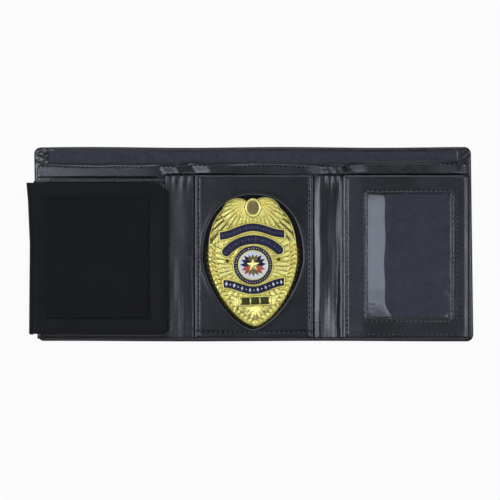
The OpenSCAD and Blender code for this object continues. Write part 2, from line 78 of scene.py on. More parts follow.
# Heights on the badge over its back: the plate's edge, the field, the raised borders, and the enamel's top and bed
PLATE, FIELD, BORDER_TOP, GLAZE_TOP, GLAZE_LOW = 1.0, 1.9, 2.5, 2.4, 1.8

# Curves and patterns


def smooth(value, low, high):
    """0 below low, 1 above high, and an even curve between them."""
    t = np.clip((value - low) / (high - low), 0, 1)
    return t * t * (3 - 2 * t)


def bump(value, middle, width):
    """A soft hump of height 1 about middle."""
    return np.exp(-(((value - middle) / width) ** 2))


def hump(distance, width):
    """A round ridge about a line."""
    return np.sqrt(np.clip(1 - (distance / (width / 2)) ** 2, 0, 1))


def profile(x, at, height, ease):
    """Heights along straight runs between points, with rounded corners."""
    return sum(np.interp(x + d, at, height) for d in np.linspace(-ease, ease, 7)) / 7


def ripple(seed, size, height, stretch=1.0):
    """A smooth random wave pattern as a function of x and y; stretch draws it out along y."""
    r = np.random.default_rng(seed)
    count = 9
    waves = 2 * np.pi / size * r.uniform(0.55, 1.6, count)
    turns = r.uniform(0, 2 * np.pi, count)
    phases = r.uniform(0, 2 * np.pi, count)

    def at(x, y):
        total = 0
        for k, w, p in zip(waves, turns, phases):
            total = total + np.sin(k * (np.cos(w) * x + np.sin(w) * y / stretch) + p)
        return height * total / math.sqrt(count)

    return at


def edge_fall(far, r):
    """Height under a rolled edge's crown, as a share, at a distance in from the edge."""
    return 1 - np.sqrt(1 - (1 - np.clip(far / r, 0.02, 1)) ** 2)


def turned_edge(far, drop, slope=0.26):
    """How far a turned-in edge falls: a slight slope over its fold, then a tight roll."""
    bevel, roll = 1.1, 0.25
    start = slope * (bevel - roll)
    return start * np.clip((bevel - far) / (bevel - roll), 0, 1) + (drop - start) * edge_fall(far, roll)


def side_gaps(x, y, low, high):
    """Distances in from the left, right, lower and upper side."""
    return x - low[0], high[0] - x, y - low[1], high[1] - y


def inset(x, y, low, high):
    """Distance in from the nearest side."""
    return np.minimum.reduce(side_gaps(x, y, low, high))


# Mesh building


def new_object(name, verts, faces, paint, flat=False):
    """A mesh object from points and lists of corners, smooth unless it is flat."""
    mesh = bpy.data.meshes.new(name)
    mesh.from_pydata((np.asarray(verts, float) * MM).tolist(), [], faces)
    mesh.polygons.foreach_set("use_smooth", [not flat] * len(mesh.polygons))
    mesh.materials.append(paint)
    mesh.update()
    made = bpy.data.objects.new(name, mesh)
    bpy.context.scene.collection.objects.link(made)
    return made


def repaint(made, paint, faces):
    """Gives some faces a second material."""
    made.data.materials.append(paint)
    for i in faces:
        made.data.polygons[i].material_index = 1


def carried(made, body, *nodes):
    """The piece takes the place of the CAD nodes and moves with the body."""
    if nodes:
        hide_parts(*nodes)
    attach(made, body)
    return made


def grid_faces(n, m, first=0, flip=False):
    i, j = np.meshgrid(np.arange(n - 1), np.arange(m - 1), indexing="ij")
    a = first + i * m + j
    quads = np.stack([a, a + m, a + m + 1, a + 1], -1).reshape(-1, 4)
    return (quads[:, ::-1] if flip else quads).tolist()


def tube_faces(first, count, n):
    """Faces between rings of n points, and the face that closes the first ring."""
    walls = [[a + i, a + (i + 1) % n, a + n + (i + 1) % n, a + n + i]
             for a in range(first, first + (count - 1) * n, n) for i in range(n)]
    return walls + [[first + i for i in reversed(range(n))]]


def solid_grid(name, x, y, top, low, paint, slot, flush=""):
    """A closed sheet on a grid of places. A flush side, l or r, meets its other half and is shaded apart."""
    n, m = x.shape
    count = n * m
    verts = np.concatenate([np.stack([x, y, z], -1).reshape(-1, 3) for z in (top, low)])
    faces = grid_faces(n, m) + grid_faces(n, m, count, flip=True)
    sides = {
        "b": [i * m for i in range(n)],
        "r": [(n - 1) * m + j for j in range(m)],
        "t": [i * m + m - 1 for i in reversed(range(n))],
        "l": [j for j in reversed(range(m))],
    }
    flat = []
    for side, edge in sides.items():
        if side in flush:
            flat += range(len(faces), len(faces) + len(edge) - 1)
        faces += [[p, p + count, q + count, q] for p, q in zip(edge, edge[1:])]
    made = new_object(name, verts, faces, paint)
    for i in flat:
        made.data.polygons[i].use_smooth = False
    return made


def ring_solid(name, loops, top, low, paint, hub=False):
    """A closed plate on loops of places that run from the inside out. With a hub its middle is closed."""
    count, n = top.shape
    total = count * n
    upper, lower = (np.concatenate([loops, z[..., None]], -1).reshape(-1, 3) for z in (top, low))
    verts = np.concatenate([upper, lower])
    i = np.arange(n)
    j = (i + 1) % n
    faces = []
    for k in range(count - 1):
        quads = np.stack([k * n + i, (k + 1) * n + i, (k + 1) * n + j, k * n + j], -1)
        faces += quads.tolist() + (quads[:, ::-1] + total).tolist()
    outer = (count - 1) * n
    faces += np.stack([outer + i, outer + i + total, outer + j + total, outer + j], -1).tolist()
    if hub:
        verts = np.concatenate([verts, [upper[:n].mean(0), lower[:n].mean(0)]])
        faces += np.stack([i, j, 0 * i + 2 * total], -1).tolist()
        faces += np.stack([j + total, i + total, 0 * i + 2 * total + 1], -1).tolist()
    else:
        faces += np.stack([j, j + total, i + total, i], -1).tolist()
    return new_object(name, verts, faces, paint)


def lines(*parts):
    """Grid lines along one axis. Each part is (from, to, step)."""
    out = [parts[0][0]]
    for a, b, step in parts:
        out += list(np.linspace(a, b, max(1, round(abs(b - a) / step)) + 1)[1:])
    return np.array(out)


def with_edges(at, r, low, high):
    """The same grid lines, with more of them over the rolled edges."""
    rolled = r * np.array([0.0, 0.06, 0.22, 0.5, 1.0])
    a, b = at[0], at[-1]
    keep = at[(at > a + (1.4 * r if low else -1)) & (at < b - (1.4 * r if high else -1))]
    return np.concatenate([a + rolled if low else [], keep, (b - rolled)[::-1] if high else []])


def corner_shift(x, y, corner, way, size, cut=False):
    """How far a grid's corner moves in onto an arc or, with cut, onto a straight line."""
    a, b = ((p - (c - w * s)) * w / s for p, c, w, s in zip((x, y), corner, way, size))
    near = (a > 0) & (b > 0)
    a, b = np.where(near, a, 1), np.where(near, b, 1)
    k = np.maximum(a, b) / (a + b if cut else np.hypot(a, b)) - 1
    return near * way[0] * size[0] * a * k, near * way[1] * size[1] * b * k


def round_corners(x, y, xs, ys, r, rolled):
    """Moves the grid's corners between rolled edges onto arcs of radius r."""
    dx, dy = 0, 0
    for i, way_x, side_x in ((-1, 1, "r"), (0, -1, "l")):
        for j, way_y, side_y in ((-1, 1, "t"), (0, -1, "b")):
            if side_x in rolled and side_y in rolled:
                shift = corner_shift(x, y, (xs[i], ys[j]), (way_x, way_y), (r, r))
                dx, dy = dx + shift[0], dy + shift[1]
    return x + dx, y + dy


def sheet(name, xs, ys, z, t, paint, slot, edge=None, rolled="lrbt", corner=0, shape=None, flat_below=False,
          flush="", least=0):
    """A leather or cloth sheet over grid lines, t thick on the level z, with rolled edges as wide as edge.
    shape gives the shift of each place; at least least of thickness is kept where the underside is flat."""
    r = edge or t / 2
    xs = with_edges(xs, r, "l" in rolled, "r" in rolled)
    ys = with_edges(ys, r, "b" in rolled, "t" in rolled)
    x, y = np.meshgrid(xs, ys, indexing="ij")
    far = np.full(x.shape, 1e3)
    for side, gap in zip("lrbt", side_gaps(x, y, (xs[0], ys[0]), (xs[-1], ys[-1]))):
        if side in rolled:
            far = np.minimum(far, gap)
    half = t / 2 * np.sqrt(1 - (1 - np.clip(far / r, 0.02, 1)) ** 2)
    if corner:
        x, y = round_corners(x, y, xs, ys, corner, rolled)
    dx, dy, dz = shape(x, y) if shape else (0, 0, 0)
    top = z + t / 2 + half + dz
    low = z + t / 2 - half + (0 if flat_below else dz)
    if least:
        low = np.minimum(low, top - least)
    return solid_grid(name, x + dx, y + dy, top, low, paint, slot, flush)


def even_lines(low, high, step_x, step_y):
    return lines((low[0], high[0], step_x)), lines((low[1], high[1], step_y))


def node_sheet(name, part, body, xs, ys, paint, slot, **more):
    """A sheet on the level of a CAD node and as thick, which takes its place."""
    low, high = span(part)
    carried(sheet(name, xs, ys, low[2], high[2] - low[2], paint, slot, **more), body, part)


def plain_cloth(name, part, t, step, shape, look, body):
    """A cloth over the whole of a CAD node, with square ends; look is its paint and a slot name, which is not used."""
    low, high = span(part)
    made = sheet(name, *even_lines(low, high, step, step), low[2], t, *look, rolled="", shape=shape)
    carried(made, body, part)


def rounded_loop(low, high, far, r):
    """Places round a rectangle with corners of radius r, moved in by far, counter-clockwise from its right side's
    lower end. Each loop has a place for each millimetre of the badge panel's sides."""
    x, y, r = (low[0] + far, high[0] - far), (low[1] + far, high[1] - far), max(0.15, r - far)
    nx, ny = (round(PANEL_HIGH[i] - PANEL_LOW[i]) for i in (0, 1))
    out = []
    for cx, cy, turn, n in ((x[1], y[1], 0, ny), (x[0], y[1], 90, nx), (x[0], y[0], 180, ny), (x[1], y[0], 270, nx)):
        w = math.radians(turn)
        back = np.array([math.sin(w), -math.cos(w)])
        length = (y[1] - y[0] if turn % 180 == 0 else x[1] - x[0]) - 2 * r
        middle = np.array([cx - r * np.sign(cx - sum(x) / 2), cy - r * np.sign(cy - sum(y) / 2)])
        start = middle + r * np.array([math.cos(w), math.sin(w)])
        out += [start + back * length * (1 - s) for s in np.linspace(0, 1, n, endpoint=False)]
        out += [middle + r * np.array([math.cos(a), math.sin(a)]) for a in np.linspace(w, w + math.pi / 2, 6)[:-1]]
    return np.array(out)


# Materials


def node(tree, kind, inputs=None, **settings):
    made = tree.nodes.new("ShaderNode" + kind)
    for key, value in settings.items():
        setattr(made, key, value)
    for key, value in (inputs or {}).items():
        if isinstance(value, bpy.types.NodeSocket):
            tree.links.new(value, made.inputs[key])
        else:
            made.inputs[key].default_value = value
    return made


def new_paint(name, **sockets):
    """A material with its tree, its shader and its object coordinates; plain values go on the shader's sockets."""
    made = bpy.data.materials.new(name)
    made.use_nodes = True
    shader = made.node_tree.nodes["Principled BSDF"]
    for key, value in sockets.items():
        shader.inputs[key.replace("_", " ")].default_value = value
    return made, made.node_tree, shader, node(made.node_tree, "TexCoord").outputs["Object"]


def rgba(color, gain=1.0):
    return tuple(min(1.0, c * gain) for c in color) + (1.0,)


def mapped(tree, value, low, high, start=0.3, end=0.7):
    inputs = {"Value": value, "From Min": start, "From Max": end, "To Min": low, "To Max": high}
    return node(tree, "MapRange", inputs).outputs["Result"]


def noise(tree, place, scale, detail):
    return node(tree, "TexNoise", {"Vector": place, "Scale": float(scale), "Detail": detail}).outputs["Fac"]


def mixed(tree, share, a, b):
    return node(tree, "MixRGB", {"Fac": share, "Color1": a, "Color2": b}).outputs["Color"]


def summed(tree, a, b, share):
    """a, with a share of b."""
    return node(tree, "Math", {0: b, 1: share, 2: a}, operation="MULTIPLY_ADD").outputs[0]


def mottled(tree, shader, place, color, gain, scale, detail=4.0):
    """The colour drifts between itself and a lighter one."""
    drift = noise(tree, place, scale, detail)
    color = mixed(tree, mapped(tree, drift, 0.0, 1.0), rgba(color), rgba(color, gain))
    tree.links.new(color, shader.inputs["Base Color"])
    return drift


def surface(tree, shader, height, depth, rough=None, low=0.0, high=0.0):
    """Fine relief and, where rough is given, a roughness that follows it from low to high."""
    made = node(tree, "Bump", {"Height": height, "Distance": depth * MM})
    tree.links.new(made.outputs["Normal"], shader.inputs["Normal"])
    if rough is not None:
        tree.links.new(mapped(tree, rough, low, high), shader.inputs["Roughness"])


def leather(name, color, rough, cell=0.62, depth=0.035, gloss=0.5):
    """Pebbled leather: grain cells, fine pores, and a gloss that drifts over the hide."""
    made, tree, shader, place = new_paint(name, Specular_IOR_Level=gloss)
    drift = mottled(tree, shader, place, color, gain=1.5, scale=60)
    cells = node(tree, "TexVoronoi", {"Vector": place, "Scale": 1 / (cell * MM)}, feature="SMOOTH_F1")
    grain = summed(tree, cells.outputs["Distance"], noise(tree, place, scale=6000, detail=3.0), 0.35)
    height = summed(tree, grain, noise(tree, place, scale=420, detail=5.0), 0.8)
    surface(tree, shader, height, depth, drift, rough * 0.88, rough * 1.15)
    return made


def cloth(name, color):
    """A plain weave with threads that lie over and under each other."""
    made, tree, shader, place = new_paint(name, Sheen_Weight=0.25, Sheen_Roughness=0.5, Roughness=0.8)
    mottled(tree, shader, place, color, gain=1.7, scale=400, detail=6.0)
    thread = 0.34
    weave = {"Vector": place, "Scale": 0.16 / (thread * MM), "Distortion": 0.6}
    across, along = (node(tree, "TexWave", weave, bands_direction=way).outputs["Fac"] for way in "XY")
    surface(tree, shader, summed(tree, across, along, 1.0), depth=0.04)
    return made


def felt(name, color):
    """Soft matte cloth with a short nap that lies in patches."""
    made, tree, shader, place = new_paint(name, Specular_IOR_Level=0.14)
    drift = mottled(tree, shader, place, color, gain=1.7, scale=55, detail=6.0)
    nap = noise(tree, place, scale=3800, detail=5.0)
    surface(tree, shader, summed(tree, nap, drift, 2.0), depth=0.05, rough=nap, low=0.54, high=0.74)
    return made


def metal(name, color, rough, gain=1.25, polish=(0.8, 1.25)):
    """Plated metal with a faintly uneven polish."""
    made, tree, shader, place = new_paint(name, Metallic=1.0)
    drift = mottled(tree, shader, place, color, gain, scale=260)
    wear = noise(tree, place, scale=900, detail=4.0)
    surface(tree, shader, wear, depth=0.012, rough=drift, low=rough * polish[0], high=rough * polish[1])
    return made


def struck(name, color, dark, rough):
    """Struck and plated metal with painted shade: its colour is darker in its deep places, under the badge's field."""
    made = metal(name, color, rough, 1.2, (0.85, 1.15))
    tree = made.node_tree
    base = tree.nodes["Principled BSDF"].inputs["Base Color"]
    height = node(tree, "SeparateXYZ", {"Vector": node(tree, "TexCoord").outputs["Object"]}).outputs["Z"]
    # Painted shade: below the field's level the colour turns to the dark colour
    field = (BADGE_Z + FIELD) * MM
    share = mapped(tree, height, 0.0, 1.0, field - 0.25 * MM, field + 0.1 * MM)
    tree.links.new(mixed(tree, share, rgba(dark), base.links[0].from_socket), base)
    return made


def enamel(name, color, gain=1.6):
    """Glossy enamel, poured and fired, with small unevenness under the gloss."""
    made, tree, shader, place = new_paint(name, Specular_IOR_Level=0.3)
    drift = mottled(tree, shader, place, color, gain, scale=500)
    surface(tree, shader, drift, depth=0.03, rough=drift, low=0.24, high=0.38)
    return made


def vinyl(name, color):
    """Clear vinyl with a faint haze."""
    made, tree, shader, place = new_paint(name, Transmission_Weight=1.0, IOR=1.5)
    drift = mottled(tree, shader, place, color, gain=1.05, scale=90)
    haze = noise(tree, place, scale=300, detail=4.0)
    surface(tree, shader, drift, depth=0.05, rough=haze, low=0.03, high=0.09)
    return made


BLACK = (0.0068, 0.0071, 0.0092)
LEATHER = leather("black_leather", BLACK, 0.27, depth=0.024)
PANEL_LEATHER = leather("panel_leather", BLACK, 0.27, depth=0.024, gloss=0.36)
FOLD_LEATHER = leather("fold_leather", BLACK, 0.25, cell=0.5, depth=0.017)
MATTE = leather("matte_leather", (0.0043, 0.0043, 0.0056), 0.56, cell=0.45, gloss=0.15)
# Partly the board's own black and partly painted shade: near-black and matte, darker than the leather, for the shade in
# the gap round the badge
SHADED_BOARD = leather("board_cover", (0.003, 0.003, 0.004), 0.6, gloss=0.12)
# A paler grey for the narrow bands on the cut-out's rolled edge, which show as a pale line round it
PALE_RECESS_RIM = leather("cut_edge", (0.085, 0.085, 0.09), 0.5, depth=0.02)
# Painted shade: near-black paint for the needle holes, whose darkness is their shade
HOLE_SHADE = leather("needle_hole_shade", (0.001, 0.001, 0.0012), 0.8, gloss=0.05)
THREAD = leather("black_thread", (0.04, 0.041, 0.05), 0.4, cell=0.2, depth=0.03)
LINING = cloth("black_lining", (0.024, 0.0245, 0.033))
WINDOW_CLOTH = cloth("window_cloth", (0.035, 0.035, 0.053))
FELT = felt("flap_cloth", (0.0042, 0.0042, 0.0054))
VINYL = vinyl("clear_vinyl", (0.93, 0.95, 1.0))
# The gold's second colour is painted shade in the hollows under the field
GOLD = struck("struck_gold", (1.0, 0.815, 0.265), (0.09, 0.07, 0.015), 0.35)
DARK_GOLD = metal("dark_gold", (0.17, 0.135, 0.055), 0.36)
OLIVE = metal("olive_field", (0.05, 0.05, 0.018), 0.4)
PALE = metal("pale_bead", (0.62, 0.62, 0.66), 0.3)
DIM_BEAD = metal("dim_bead", (0.1, 0.1, 0.19), 0.35)
STEEL = metal("pin_steel", (0.6, 0.61, 0.63), 0.28)
BLUE = enamel("indigo_enamel", (0.0095, 0.008, 0.03))
WHITE = enamel("white_enamel", (0.8, 0.8, 0.84), 1.08)
RED = enamel("red_enamel", (0.42, 0.075, 0.035))


# Thread

STITCH_PITCH, STITCH_LENGTH = 2.7, 1.75
STITCH_RINGS = np.array([-1, -0.82, -0.45, 0, 0.45, 0.82, 1])[:, None]
STITCH_SIDES = np.linspace(0, 2 * np.pi, 7)[:-1]
HOLE_SHADE_SIDES = 8
STITCH_IN, LOW_STITCH_IN = 2.3, 3.7
# hole is the reach of the needle holes' painted shade
PANEL_STITCH = {"width": 0.7, "hole": (0.62, 0.62)}
PANEL_STITCH_DEPTH = 0.12


def seam(distance, at=STITCH_IN):
    """A stitched row sinks into the leather."""
    return -0.22 * bump(distance, at, 0.4)


def stitch_places(places, pitch):
    """The stitches' middles along a row, and the row's turn at each."""
    places = np.asarray(places, float)
    run = np.concatenate([[0], np.cumsum(np.hypot(*np.diff(places, axis=0).T))])
    at = np.arange(pitch * 0.5, run[-1], pitch)
    here, ahead = (np.stack([np.interp(s, run, places[:, i]) for i in (0, 1)], -1)
                   for s in (at, np.minimum(at + 0.2, run[-1])))
    return here, np.arctan2(*(ahead - here).T[::-1])


def row_axes(turn):
    """Directions along and across a row."""
    c, s = math.cos(turn), math.sin(turn)
    return np.array([c, s]), np.array([-s, c])


def one_stitch(middle, turn, half, level, width, rise):
    """Rings of a thread that comes up out of the leather and goes down into it again."""
    along, across = row_axes(turn)
    s = STITCH_RINGS
    girth = np.sqrt(np.clip(1.02 - s**4, 0.05, 1)) * width
    xy = middle + along * (s * half)[..., None] + across * (girth / 2 * np.cos(STITCH_SIDES))[..., None]
    z = level + rise * (1 - 1.5 * s * s) + girth * 0.34 * np.sin(STITCH_SIDES)
    return np.concatenate([xy, z[..., None]], -1).reshape(-1, 3).tolist()


def needle_hole_shade(middle, turn, level, reach):
    """Painted shade of the needle hole between two stitches: a near-black flat cone with its tip up."""
    along, across = row_axes(turn)
    rim = np.linspace(0, 2 * np.pi, HOLE_SHADE_SIDES + 1)[:-1]
    places = [middle + along * reach[0] * math.cos(a) + across * reach[1] * math.sin(a) for a in rim]
    return [[*place, level - 0.03] for place in places] + [[*middle, level + 0.12]]


def stitches(name, rows, paint=THREAD, slot="leather", pitch=STITCH_PITCH, width=0.55, rise=0.16, hole=(0.46, 0.4)):
    """Rows of short stitches in one mesh, with painted shade for the needle holes between them. A row is its places and
    its height, as a number or a function; hole is the reach of a hole's painted shade along and across the row."""
    r = np.random.default_rng(11)
    rings, n = len(STITCH_RINGS), len(STITCH_SIDES)
    verts, faces, holes = [], [], []
    for places, height in rows:
        middles, turns = stitch_places(places, pitch)
        turns = turns + r.normal(0, 0.05, len(turns))
        for middle, turn in zip(middles, turns):
            level = float(height(*middle) if callable(height) else height)
            faces += tube_faces(len(verts), rings, n)
            verts += one_stitch(middle, turn, STITCH_LENGTH / 2 * r.uniform(0.93, 1.05), level, width, rise)
            faces.append([len(verts) - n + i for i in range(n)])
            holes.append((middle + row_axes(turn)[0] * pitch / 2, turn, level))
    thread_faces = len(faces)
    for middle, turn, level in holes:
        first = len(verts)
        verts += needle_hole_shade(middle, turn, level, hole)
        faces += [[first + i, first + (i + 1) % HOLE_SHADE_SIDES, first + HOLE_SHADE_SIDES] for i in range(HOLE_SHADE_SIDES)]
        faces.append([first + i for i in reversed(range(HOLE_SHADE_SIDES))])
    made = new_object(name, verts, faces, paint)
    # The needle holes take the painted shade
    repaint(made, HOLE_SHADE, range(thread_faces, len(faces)))
    return made


# Shapes that several sheets share

slow = ripple(3, 46, 0.10)
fine = ripple(5, 13, 0.022)


def leaning(x, y):
    """The left end leans in towards the bottom, the right end towards the top."""
    left, right = (np.clip((way * x - FOLD_OUT) / (COVER_HIGH[0] - FOLD_OUT), 0, 1) for way in (-1, 1))
    low = (COVER_HIGH[1] - y) / (COVER_HIGH[1] - COVER_LOW[1])
    return left * (1.9 * low - 0.3) - right * 1.4 * (1 - low)


SIDES = {-1: "left", 1: "right"}
OUTER, INNER = {-1: "l", 1: "r"}, {-1: "r", 1: "l"}


def half_lines(side, low, high, step=2.2):
    """Grid lines over the left or right half, close together over the fold and where the halves meet."""
    meet, fold_step, meet_step = 0.6, 0.7, 0.1
    if side < 0:
        return lines((low, -FOLD_OUT, step), (-FOLD_OUT, -FOLD_IN, fold_step), (-FOLD_IN, -meet, step),
                     (-meet, 0, meet_step))
    return lines((0, meet, meet_step), (meet, FOLD_IN, step), (FOLD_IN, FOLD_OUT, fold_step), (FOLD_OUT, high, step))


def bend(piece, side):
    """Bakes the piece's place into its mesh, the same for either side."""
    if side < 0:
        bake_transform(piece)
    else:
        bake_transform(piece)


def add_half(layer, side, xs, ys, low, high, paint, slot, **more):
    """Half of a layer that runs through the wallet: it meets the other half in the middle."""
    word = SIDES[side]
    made = sheet(f"{layer}_{word}_skin", xs, ys, low[2], high[2] - low[2], paint, slot, rolled=OUTER[side] + "bt",
                 flush=INNER[side], **more)
    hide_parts(f"{layer}_{word}", f"{word}_fold_{layer}", f"{layer}_centre")
    bend(made, side)
    return made


# Cover, lining and inner wall

HEM_X, HEM_LOW, HEM_HIGH = COVER_HIGH[0] - LINING_HIGH[0], LINING_LOW[1] - COVER_LOW[1], COVER_HIGH[1] - LINING_HIGH[1]
HEM_T, TOP_LIFT, LEATHER_CORNER = 1.08, 0.84, 3.8
pucker = ripple(21, 4.2, 0.13)


def top_lift(y):
    """The cover and its lining rise behind the wall's free edge."""
    return TOP_LIFT * smooth(y, WALL_TOP_Y - 4, WALL_TOP_Y)


def cover_shape(x, y):
    """The turned-in edge stands one leather's thickness over the rest."""
    inside = np.minimum.reduce([
        smooth(COVER_HIGH[0] - np.abs(x), HEM_X - 0.45, HEM_X + 0.1),
        smooth(COVER_HIGH[1] - y, HEM_HIGH - 0.5, HEM_HIGH + 0.05),
        smooth(y - COVER_LOW[1], HEM_LOW - 0.45, HEM_LOW + 0.1),
    ])
    near_top = smooth(y, WALL_TOP_Y - 4, WALL_TOP_Y + 2)
    corner = smooth(np.abs(x), 108, 116) * near_top
    dz = near_top * (slow(x, y) * 0.5 + fine(x, y) * 1.2) + corner * pucker(x, y) - inside * (HEM_T - top_lift(y))
    dy = 0.22 * np.sin(x / 17.0 + 0.6) * smooth(y, 40, 54) + 0.15 * np.sin(x / 23.0) * smooth(-y, 40, 54)
    return leaning(x, y), dy, dz


def add_cover():
    hem_x, hem_y = LINING_HIGH[0], LINING_LOW[1]
    ys = lines((COVER_LOW[1], hem_y - 1, 1.4), (hem_y - 1, hem_y + 1, 0.25), (hem_y + 1, 44, 4.0), (44, 51, 0.7),
               (51, 52.2, 0.2), (52.2, COVER_HIGH[1], 0.6))
    near_hem = np.arange(hem_x - 8, hem_x + 7, 0.5)
    for side in SIDES:
        xs = np.concatenate([half_lines(side, COVER_LOW[0], COVER_HIGH[0]), side * near_hem])
        add_half("cover", side, np.unique(np.round(xs, 3)), ys, COVER_LOW, COVER_HIGH, LEATHER, "leather",
                 corner=LEATHER_CORNER, shape=cover_shape, flat_below=True)


WALL_EDGE = ((-116, -70, -45, -20, 30, 50, 62, 75, 117), (-1.3, -1.5, -0.9, -0.2, -1.5, -1.4, 0.4, 0.6, 0.6))
WALL_RUNS = (
    (-117, -97, -60, -54, -52, -43, -38.5, -34, -25.5, -18, -8, 8, 30, 31, 37, 41, 42, 45.5, 46.3, 49.4, 52, 53, 62,
     84, 100, 112, 117),
    (0.2, 0.45, 0.65, 0.5, 0.1, 2.1, 1.4, 0.4, 1.95, 1.3, 0.6, 0.25, 0.15, 0.2, 0.8, 1.75, 1.4, 2.35, 1.9, 2.5, 1.0,
     0.9, 2.2, 2.6, 2.4, 1.5, 0.3),
)


def wall_shape(x, y):
    """The wall's free top edge waves, and its leather is full where it bunches over the folds."""
    top = smooth(y, 36, WALL_TOP_Y)
    dy = top * (np.interp(x, *WALL_EDGE) + 0.18 * np.sin(x / 6.5) + 0.12 * np.sin(x / 3.1 + 1))
    start = PANEL_TOP_Y - 0.5 - 1.4 * smooth(-x, FOLD_OUT - 1, FOLD_OUT + 1.5)
    free = smooth(y - start, 0, 1.5) * (1 - 0.6 * smooth(y, 44, WALL_TOP_Y))
    runs = profile(x + 0.3 * (y - 42) + 0.35 * np.sin(y / 1.7), *WALL_RUNS, 1.2)
    right_end = 0.28 * np.clip(x - (WALL_HIGH[0] - 3.0), 0, 2.6)
    return leaning(x, y), dy, runs * free + top * (0.6 * slow(x, y) + fine(x, y)) - right_end


def wall_top(x, y):
    return WALL_HIGH[2] + wall_shape(x, y)[2]


def add_wall():
    ys = lines((WALL_LOW[1], 34, 6.0), (34, WALL_TOP_Y, 0.5))
    y = np.full(200, WALL_TOP_Y - 1.9)
    for side, word in SIDES.items():
        add_half("wall", side, half_lines(side, WALL_LOW[0], WALL_HIGH[0], 1.5), ys, WALL_LOW, WALL_HIGH, LEATHER,
                 "leather", edge=0.8, corner=LEATHER_CORNER, shape=wall_shape)
        x = side * np.linspace(0.1, WALL_HIGH[0] - 3, len(y))
        dx, dy, _ = wall_shape(x, y)
        bend(stitches(f"wall_{word}_thread", [(np.stack([x + dx, y + dy], -1), wall_top)], pitch=2.5), side)


def lining_shape(x, y):
    dz = (slow(x, y) * 0.5 + fine(x, y)) * smooth(y, 40, 46) + top_lift(y) - 0.02
    return leaning(x, y) * 0.9, 0.8 * smooth(y, 46, LINING_HIGH[1]), dz


def add_lining():
    ys = lines((LINING_LOW[1], 42, 6.0), (42, LINING_HIGH[1], 0.9))
    for side, word in SIDES.items():
        xs = half_lines(side, LINING_LOW[0], LINING_HIGH[0], 3.0)
        made = add_half("lining", side, xs, ys, LINING_LOW, LINING_HIGH, LINING, "cloth", shape=lining_shape)


# Gathered leather over the folds: heights across a fold at three shares of the way down it, and the gathers'
# places and heights at its top

streak_a = ripple(31, 2.6, 0.035, stretch=22)
streak_b = ripple(37, 5.5, 0.07, stretch=14)

FOLD_SHARES = (0.06, 0.5, 0.97)
FOLD_RUNS = {
    1: ((0, 1.4, 3.4, 4.3, 8.0, 12.8, 15.2, 16.4),
        ((0.0, 0.1, 0.6, 0.65, 0.5, 0.55, 0.3, 0.1),
         (0.0, 0.35, 0.92, 1.0, 0.9, 1.15, 0.3, 0.1),
         (0.0, 0.3, 0.8, 0.75, 1.2, 2.1, 0.2, 0.1))),
    -1: ((0, 1.0, 3.0, 6.0, 9.0, 11.0, 13.5, 16.4),
         ((0.2, 0.5, 0.6, 0.68, 0.62, 0.55, 0.62, 0.8),
          (0.1, 0.35, 0.5, 0.6, 0.62, 0.6, 0.64, 0.85),
          (0.2, 0.45, 0.62, 0.75, 0.69, 0.62, 0.66, 0.85))),
}
FOLD_EASE, FOLD_STREAKS = {1: 0.5, -1: 1.0}, {1: 1.0, -1: 0.5}
GATHERS = {
    1: ((36.6, 0.3), (38.6, -0.2), (40.5, 0.42), (42.2, -0.25), (43.9, 0.42), (45.5, -0.28), (47.2, 0.42), (49, -0.2)),
    -1: ((-48.2, 0.35), (-46.4, -0.3), (-44.2, 0.3), (-42.0, -0.3), (-39.6, 0.3), (-37.6, -0.28), (-35.4, 0.38)),
}


def fold_shape(side):
    """Leather that lies full over a fold: long runs down it, and gathers at its top."""
    at, sections = FOLD_RUNS[side]

    def shape(x, y):
        share = (PANEL_TOP_Y - y) / (PANEL_TOP_Y - PANEL_LOW_Y)
        out = np.abs(x) - FOLD_IN + 0.3 * np.sin(y / 9.0) + 0.15 * np.sin(y / 3.7)
        high, middle, low = (profile(out, at, heights, FOLD_EASE[side]) for heights in sections)
        low_share = smooth(share, *FOLD_SHARES[1:])
        high_share = 1 - smooth(share, *FOLD_SHARES[:2])
        near_top = np.exp(-(PANEL_TOP_Y - y) / 3.8)
        dz = high * high_share + low * low_share + middle * (1 - high_share - low_share)
        dz = dz + (sum(h * bump(x, c, 0.75) for c, h in GATHERS[side]) - 0.25) * near_top
        streaks = (streak_a(x, y) + streak_b(x, y)) * FOLD_STREAKS[side]
        return 0 * x, 0 * y, dz + streaks * smooth(share, 0.1, 0.7) - 0.15

    return shape


def add_folds():
    low, high = span("right_fold_facing")
    ys = lines((PANEL_LOW_Y, 26, 1.3), (26, PANEL_TOP_Y, 0.45))
    for side, word in SIDES.items():
        xs = lines((*sorted((side * low[0], side * high[0])), 0.3))
        made = sheet(f"{word}_fold_skin", xs, ys, low[2], high[2] - low[2], FOLD_LEATHER, "leather", rolled="bt",
                     shape=fold_shape(side))
        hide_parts(f"{word}_fold_facing")
        bend(made, side)


def add_pocket_liner():
    plain_cloth("pocket_liner_skin", "pocket_liner", 0.4, 3.0, lambda x, y: (0, 0, 0.04 * np.sin(x / 7) - 0.02),
                (LINING, "cloth"), "centre")


# Badge panel and window panel

PANEL_T, PANEL_CORNER = 1.1, 1.6
# How far in a panel's rows of stitches end, and how far from the window's row the second one runs
ROW_TOP, ROW_END, SECOND_ROW = 2.5, 3.9, 2.2
OUT_STEPS = (0.0, 0.02, 0.08, 0.25, 0.5, 0.8, 1.1, 1.5, 1.9, 2.1, 2.3, 2.5, 2.7, 3.2, 3.5, 3.7, 3.9, 4.3)
RECESS_STEPS = (0.0, 0.06, 0.2, 0.45, 0.7, 1.0, 1.4)
HOLE_STEPS = (0.0, 0.04, 0.14, 0.35, 0.7, 1.1, 1.4, 1.6, 1.8, 2.0, 2.4, 3.3)
